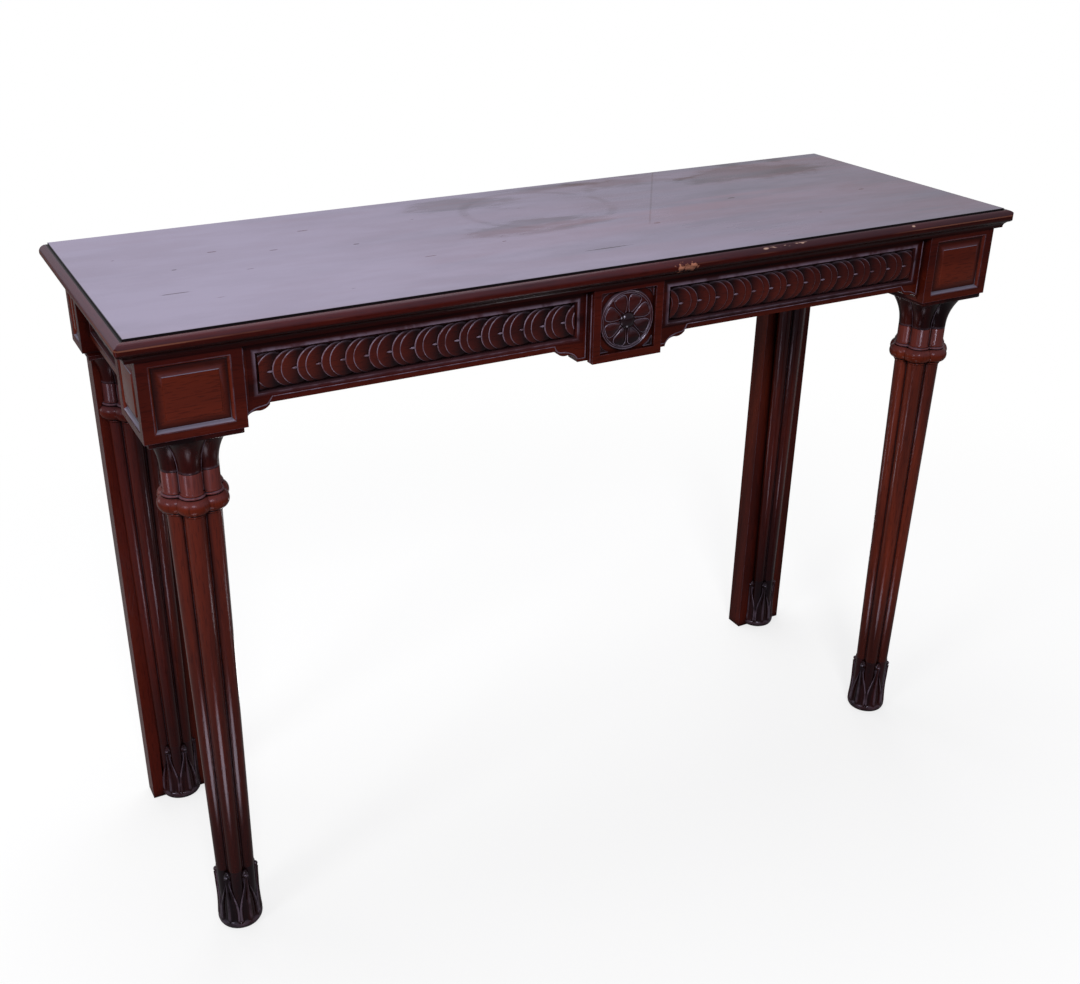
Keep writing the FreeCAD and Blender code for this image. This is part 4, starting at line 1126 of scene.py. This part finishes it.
def rose_disc(name, centre, radius, thick):
    """Round plate facing -Y with a double-rolled rim about a shallow dish."""
    piece = carved_plate(name, 128, radius, thick, ROSE_STEPS, centre)

    def on_rim(co):
        away = math.hypot(co.x - centre.x, co.z - centre.z)
        return 0.8 * any(abs(away - radius + at * MM) < 0.45 * MM for at in (1.6, 4.1))
    # Rolled rims lightened: wear and painted highlight
    note_wear_highlight_and_shade(piece, on_rim)
    return piece


def petal(name, inner, outer, thick):
    """Petal along +X facing -Y: a raised teardrop rim round a hollow."""
    def teardrop(co):
        reach = inner + (outer - inner) * (1 + co.x) / 2
        half = reach * math.tan(math.pi / PETALS) * 0.90 * abs(co.z) ** 0.6
        return reach, 0, math.copysign(half, co.z)
    piece = carved_plate(name, 56, 1, thick, PETAL_STEPS, outline=teardrop)
    # Crest of the petal's rim lightened: wear and painted highlight
    note_wear_highlight_and_shade(piece, lambda co: co.y < -thick - 0.55 * MM, 0.95)
    return piece


def spandrel(name, reach, thick):
    """Corner leaf of the sunk square: its right angle at the origin, towards +X and +Z."""
    nothing_selected()
    bpy.ops.mesh.primitive_grid_add(x_subdivisions=1, y_subdivisions=1, size=reach,
                                    location=(reach / 2, 0, reach / 2), rotation=(QUARTER, 0, 0))
    piece = settle(name)
    edit()
    pick("VERT", lambda v: v.co.x > reach * 0.5 and v.co.z > reach * 0.5)
    shift(-reach * 0.62, 0, -reach * 0.62)
    pick_all()
    bpy.ops.mesh.normals_make_consistent(inside=False)
    pick("FACE", lambda f: True)
    draw_out(0, -thick, 0)
    work_steps(OUT_FRONT, ((0.7, -0.9),))
    close_up()
    # Crest of the leaf lightened: wear and painted highlight
    note_wear_highlight_and_shade(piece, lambda co: co.y < -thick + 0.3 * MM, 0.6)
    return piece


def build_rosette():
    """Disc with its petals, and the four leaves in the corners round it."""
    low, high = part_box("rosette")
    centre = Vector(((low.x + high.x) / 2, high.y, (low.z + high.z) / 2))
    radius = (high.x - low.x) / 2
    disc = rose_disc("rosette_disc", centre, radius, DISC_THICK)
    seat = Matrix.Translation(centre + OUT_FRONT * PETAL_SEAT)
    step = 2 * math.pi / PETALS
    petals = repeated(petal("petal", PETAL_START, radius - PETAL_MARGIN, PETAL_THICK),
                      [seat @ Matrix.Rotation(step * (i + 0.5), 4, "Y") for i in range(PETALS)])
    corner = Matrix.Translation((SPANDREL_MARGIN - radius, 0, SPANDREL_MARGIN - radius))
    middle = Matrix.Translation(centre)
    leaves = repeated(spandrel("spandrel", SPANDREL_REACH, PETAL_THICK),
                      [middle @ Matrix.Rotation(QUARTER * i, 4, "Y") @ corner for i in range(4)])
    rose = joined("carved_rosette", [disc] + petals + leaves)
    smooth(rose, 45)
    finish_piece(rose, WOOD["rosette"], "carved_mahogany", "rosette")
    return centre


def build_boss(centre):
    """Low dome on the middle of the rosette."""
    low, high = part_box("rosette_boss")
    reach = (high.x - low.x) / 2
    seat = (centre.x, high.y, centre.z)
    boss = new_ball("carved_boss", seat, reach, 48, 24, turn=(QUARTER, 0, 0))
    edit()
    cut_off((0, high.y, 0), (0, 1, 0))
    pick_all()
    stretch(1, (high.y - low.y) / reach, 1, seat)
    leave_edit()
    smooth(boss, 60)
    finish_piece(boss, WOOD["boss"], "carved_mahogany", "rosette_boss")


class PIER_OT_rosette(bpy.types.Operator):
    """Carve the eight-petalled rosette, its boss and the corners round it"""
    bl_idname = "pier.rosette"
    bl_label = "Rosette"

    def execute(self, context):
        build_boss(build_rosette())
        return {"FINISHED"}


# ---------------------------------------------------------------- scribed beads of the front rail
RAIL_BEAD = 0.75 * MM
BEAD_MARGIN = 4.0 * MM      # from the edge of a bracket up to its bead
BEAD_INSET = 3.5 * MM       # from the end of the rail to the upright bead
# cove and round of a bracket: shares of its reach and of its drop
BRACKET_SHAPE = ((0.0, 0.0), (0.07, 0.16), (0.14, 0.30), (0.26, 0.42), (0.40, 0.53), (0.55, 0.60),
                 (0.70, 0.63), (0.84, 0.66), (0.93, 0.74), (1.0, 0.88))


def bead_line(name, points, radius):
    """Fine bead through points, half sunk in the face that it is worked on."""
    curve = bpy.data.curves.new(name, "CURVE")
    curve.dimensions = "3D"
    spline = curve.splines.new("POLY")
    spline.points.add(len(points) - 1)
    for point, place in zip(spline.points, points):
        point.co = (*place, 1.0)
    curve.bevel_depth = radius
    curve.bevel_resolution = 2
    curve.use_fill_caps = True
    line = bpy.data.objects.new(name, curve)
    bpy.context.scene.collection.objects.link(line)
    only(line)
    bpy.ops.object.convert(target="MESH")
    return name_new(name)


def bracket_line(x_deep, x_thin, low, rail_low):
    """Points along the cove and round of a bracket, a margin inside its edge."""
    reach, drop = x_thin - x_deep, rail_low - low
    return [(x_deep + reach * u, low + BEAD_MARGIN + drop * v) for u, v in BRACKET_SHAPE]


class PIER_OT_beads(bpy.types.Operator):
    """Run the scribed beads along the lower edge of the front rail and up its stiles"""
    bl_idname = "pier.beads"
    bl_label = "Rail beads"

    def execute(self, context):
        rail_low, rail_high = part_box("front_rail")
        side_low, side_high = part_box("rail_bracket_left")
        mid_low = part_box("rail_bracket_centre")[0]
        tablet_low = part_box("centre_tablet")[0]
        face = rail_low.y - 0.1 * MM
        top = rail_high.z - 8 * MM
        edge = rail_low.z + 6.7 * MM
        start, end = side_low.x + BEAD_INSET, tablet_low.x - BEAD_INSET
        cove = bracket_line(side_low.x, side_high.x, side_low.z, rail_low.z)
        outline = [(start, top), (start, side_low.z + 9.0 * MM)]
        outline += [place for place in cove if place[0] > side_low.x + 5.5 * MM]
        outline += [(side_high.x + 3 * MM, edge), (mid_low.x - 3 * MM, edge)]
        outline += reversed(bracket_line(tablet_low.x - 14 * MM, mid_low.x - 1 * MM, mid_low.z, rail_low.z))
        outline += [(end, mid_low.z + BEAD_MARGIN), (end, top)]
        stile = [(tablet_low.x - 0.1 * MM, tablet_low.y + 5.5 * MM, z) for z in (tablet_low.z + 1 * MM, top)]
        for side, flip in zip(SIDES, (1, -1)):
            lines = [bead_line("bead_a", [(x * flip, face, z) for x, z in outline], RAIL_BEAD),
                     bead_line("bead_b", [(x * flip, y, z) for x, y, z in stile], RAIL_BEAD * 1.2)]
            line = joined("rail_bead_" + side, lines)
            # Front of the beads lightened: wear and painted highlight
            note_wear_highlight_and_shade(line, lambda co: co.y < face, 0.75)
            smooth(line, 60)
            finish_piece(line, WOOD["rail"], "polished_mahogany")
        return {"FINISHED"}


# ---------------------------------------------------------------- operators for the rest
class PIER_OT_legs(bpy.types.Operator):
    """Turn the clustered legs with their capitals and leaf feet"""
    bl_idname = "pier.legs"
    bl_label = "Legs"

    def execute(self, context):
        for where in ("front", "rear"):
            for side in SIDES:
                build_leg(where, side)
        return {"FINISHED"}


PANEL_STEPS = ((0.8, 0), (2.0, -2.4), (0.7, -1.6), (0.8, -0.1), (9.2, 3.4), (0.01, 0.6), (0.6, 0.1))
PANEL_SUNK = 2.9 * MM       # what lies deeper in a panel is painted dark, as shade


class PIER_OT_panels(bpy.types.Operator):
    """Work the fielded panels let into the corner blocks"""
    bl_idname = "pier.panels"
    bl_label = "Block panels"

    def execute(self, context):
        for side, outward in zip(SIDES, (Vector((-1, 0, 0)), Vector((1, 0, 0)))):
            for node, facing in (("block_panel_front_", OUT_FRONT), ("block_panel_end_front_", outward),
                                 ("block_panel_end_rear_", outward)):
                low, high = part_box(node + side)
                piece = new_box("fielded_" + node + side, low, high)
                stepped_face(piece, facing, PANEL_STEPS)
                floor = max(low.dot(facing), high.dot(facing)) - PANEL_SUNK
                # Painted shade in the recess round the field
                note_wear_highlight_and_shade(piece, lambda co: co.dot(facing) < floor, 0.85, "sunk")
                ease(piece, 0.3 * MM, 1, 30)
                finish_piece(piece, WOOD["panel"], "polished_mahogany", node + side)
        return {"FINISHED"}


# wood of the pieces kept as they are, by the start of their names
NODE_WOOD = {
    "top_board": "top", "top_moulding": "nosing_end", "top_moulding_front": "nosing",
    "corner_block": "block", "front_rail": "rail", "back_rail": "under", "end_rail": "end",
    "rail_bracket": "rail", "centre_tablet": "block", "rear_pilaster": "pilaster",
    "glue_blocks": "pine", "top_screws": "steel", "rear_leg_screws": "steel",
}


class PIER_OT_finishes(bpy.types.Operator):
    """Give every carried-over piece of the frame its finish"""
    bl_idname = "pier.finishes"
    bl_label = "Finishes"

    def execute(self, context):
        for name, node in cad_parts.items():
            for start in sorted(NODE_WOOD, key=len):
                if name.startswith(start):
                    node.data.materials.clear()
                    node.data.materials.append(WOOD[NODE_WOOD[start]])
        return {"FINISHED"}


# ---------------------------------------------------------------- floor, light and camera
# name, place, size in metres, watts
LAMPS = (("key", (-1.1, -2.9, 2.6), 0.7, 58), ("fill", (-3.4, -1.4, 2.0), 0.9, 40),
         ("overhead", (0.2, 1.2, 3.6), 3.0, 80), ("rim", (-2.3, 1.7, 0.9), 0.8, 5))
LAMPS_AIM = Vector((0, 0, 0.6))
GLOSSY_SHARE = 0.12         # how much of the bright surroundings the polish reflects
# what lights the table, and what the camera sees
FLOOR_TONES = ((0.16, 0.155, 0.155, 1), (0.93, 0.93, 0.93, 1))
ROOM_TONES = ((0.32, 0.32, 0.34, 1), (1, 1, 1, 1))
LIT_STRENGTH = 6.0
LIT_SPOTS = (((-0.64, -0.52, 0), (5.8, 5.0, 1)), ((0.27, -0.40, 0), (8.5, 8.5, 1)),
             ((0.64, 0.52, 0), (5.8, 5.0, 1)), ((-0.27, 0.40, 0), (6.8, 6.8, 1)))
VIEW_PLACE = (-0.8347, -1.4811, 1.2692)
VIEW_TURN = (27.445, 26.567, 0.221)      # yaw, pitch and roll in degrees
FRAME_WIDE, FRAME_HIGH = 1080, 984       # in pixels
FOCAL_LENGTH = 1320.4                    # in the same pixels
LENS_AXIS = (506.1, 507.8)               # pixel that the lens looks at


class PIER_OT_stage(bpy.types.Operator):
    """Lay the pale floor and set the camera and soft light"""
    bl_idname = "pier.stage"
    bl_label = "Stage"

    def execute(self, context):
        nothing_selected()
        bpy.ops.mesh.primitive_plane_add(size=60)
        floor = name_new("floor")
        floor.data.materials.append(floor_material())
        place_camera()
        for lamp in LAMPS:
            soft_light(*lamp)
        bright_world()
        context.scene.view_settings.view_transform = "Standard"
        return {"FINISHED"}


def rays(tree):
    """Where the camera looks, also through glass, and where polish reflects."""
    path = tree.nodes.new("ShaderNodeLightPath")
    seen = maths("MAXIMUM", Field(path.outputs["Is Camera Ray"]), path.outputs["Is Transmission Ray"])
    return seen, Field(path.outputs["Is Glossy Ray"])


def seen_directly(tree):
    """1 where the camera looks, less where polish reflects."""
    seen, glossy = rays(tree)
    return maths("MAXIMUM", seen, glossy * GLOSSY_SHARE)


def floor_material():
    """Pale floor that keeps the table's shadow and fades to white away from it."""
    material, shader, place = shader_material("pale_floor")
    tree = place.tree
    feed(shader.inputs["Base Color"], seen_directly(tree).mix(*FLOOR_TONES))
    shader.inputs["Roughness"].default_value = 0.9
    shader.inputs["Specular IOR Level"].default_value = 0.0
    seen, glossy = rays(tree)
    away = place.away_from((0, 0, 0), (0.8, 1, 1)).ranged(0.5, 1.6, 0.72, 1.0)
    band = lit_floor(place) * glossy
    white = add_node(tree, "ShaderNodeEmission", in_Color=(1, 1, 1, 1), in_Strength=band * LIT_STRENGTH + 1.0)
    blend = tree.nodes.new("ShaderNodeMixShader")
    feed(blend.inputs[0], maths("MAXIMUM", seen * away, band))
    feed(blend.inputs[1], shader.outputs[0])
    feed(blend.inputs[2], white.outputs[0])
    output = next(node for node in tree.nodes if node.bl_idname == "ShaderNodeOutputMaterial")
    feed(output.inputs["Surface"], blend.outputs[0])
    return material


def lit_floor(place):
    """Bright patches of floor before and behind the table, which the polished shafts reflect."""
    lit = 0.0
    for centre, by in LIT_SPOTS:
        lit = maths("MAXIMUM", place.away_from(centre, by).ranged(1.0, 0.5), lit)
    return lit


def bright_world():
    world = bpy.data.worlds.new("soft_room")
    bpy.context.scene.world = world
    world.use_nodes = True
    background = world.node_tree.nodes["Background"]
    feed(background.inputs["Color"], seen_directly(world.node_tree).mix(*ROOM_TONES))
    background.inputs["Strength"].default_value = 1.0


def place_camera():
    data = bpy.data.cameras.new("view")
    camera = bpy.data.objects.new("view", data)
    bpy.context.scene.collection.objects.link(camera)
    bpy.context.scene.camera = camera
    yaw, pitch, roll = (math.radians(angle) for angle in VIEW_TURN)
    forward = Vector((math.sin(yaw) * math.cos(pitch), math.cos(yaw) * math.cos(pitch), -math.sin(pitch)))
    right = Vector((math.cos(yaw), -math.sin(yaw), 0))
    up = right.cross(forward)
    right, up = right * math.cos(roll) + up * math.sin(roll), up * math.cos(roll) - right * math.sin(roll)
    turn = Matrix((right, up, -forward)).transposed().to_4x4()
    camera.matrix_world = Matrix.Translation(VIEW_PLACE) @ turn
    data.sensor_fit = "HORIZONTAL"
    data.sensor_width = 36.0
    data.lens = FOCAL_LENGTH / FRAME_WIDE * data.sensor_width
    data.shift_x = (FRAME_WIDE / 2 - LENS_AXIS[0]) / FRAME_WIDE
    data.shift_y = (LENS_AXIS[1] - FRAME_HIGH / 2) / FRAME_WIDE


def soft_light(name, place, size, watts):
    data = bpy.data.lights.new(name, "AREA")
    data.energy = watts
    data.size = size
    lamp = bpy.data.objects.new(name, data)
    bpy.context.scene.collection.objects.link(lamp)
    aim = LAMPS_AIM - Vector(place)
    lamp.matrix_world = Matrix.Translation(place) @ aim.to_track_quat("-Z", "Y").to_matrix().to_4x4()


class PIER_PT_panel(bpy.types.Panel):
    """Pieces of the pier table, in the order they are made"""
    bl_idname = "PIER_PT_panel"
    bl_label = "Pier Table"
    bl_space_type = "VIEW_3D"
    bl_region_type = "UI"
    bl_category = "Pier Table"

    def draw(self, context):
        for group in (context.scene.pier_sizes, context.scene.pier_colours):
            for name in group.__annotations__:
                self.layout.prop(group, name)
        for maker in MAKERS:
            self.layout.operator(maker.bl_idname)


MAKERS = (PIER_OT_finishes, PIER_OT_legs, PIER_OT_frieze, PIER_OT_panels, PIER_OT_rosette, PIER_OT_beads,
          PIER_OT_stage)
CLASSES = (TableColours, TableSizes) + MAKERS + (PIER_PT_panel,)


def register():
    for cls in CLASSES:
        bpy.utils.register_class(cls)
    bpy.types.Scene.pier_colours = PointerProperty(type=TableColours)
    bpy.types.Scene.pier_sizes = PointerProperty(type=TableSizes)


def unregister():
    del bpy.types.Scene.pier_sizes
    del bpy.types.Scene.pier_colours
    for cls in reversed(CLASSES):
        bpy.utils.unregister_class(cls)


def main():
    register()
    make_materials()
    bpy.ops.pier.finishes()
    bpy.ops.pier.legs()
    bpy.ops.pier.frieze()
    bpy.ops.pier.panels()
    bpy.ops.pier.rosette()
    bpy.ops.pier.beads()
    bpy.ops.pier.stage()


if __name__ == "__main__":
    main()
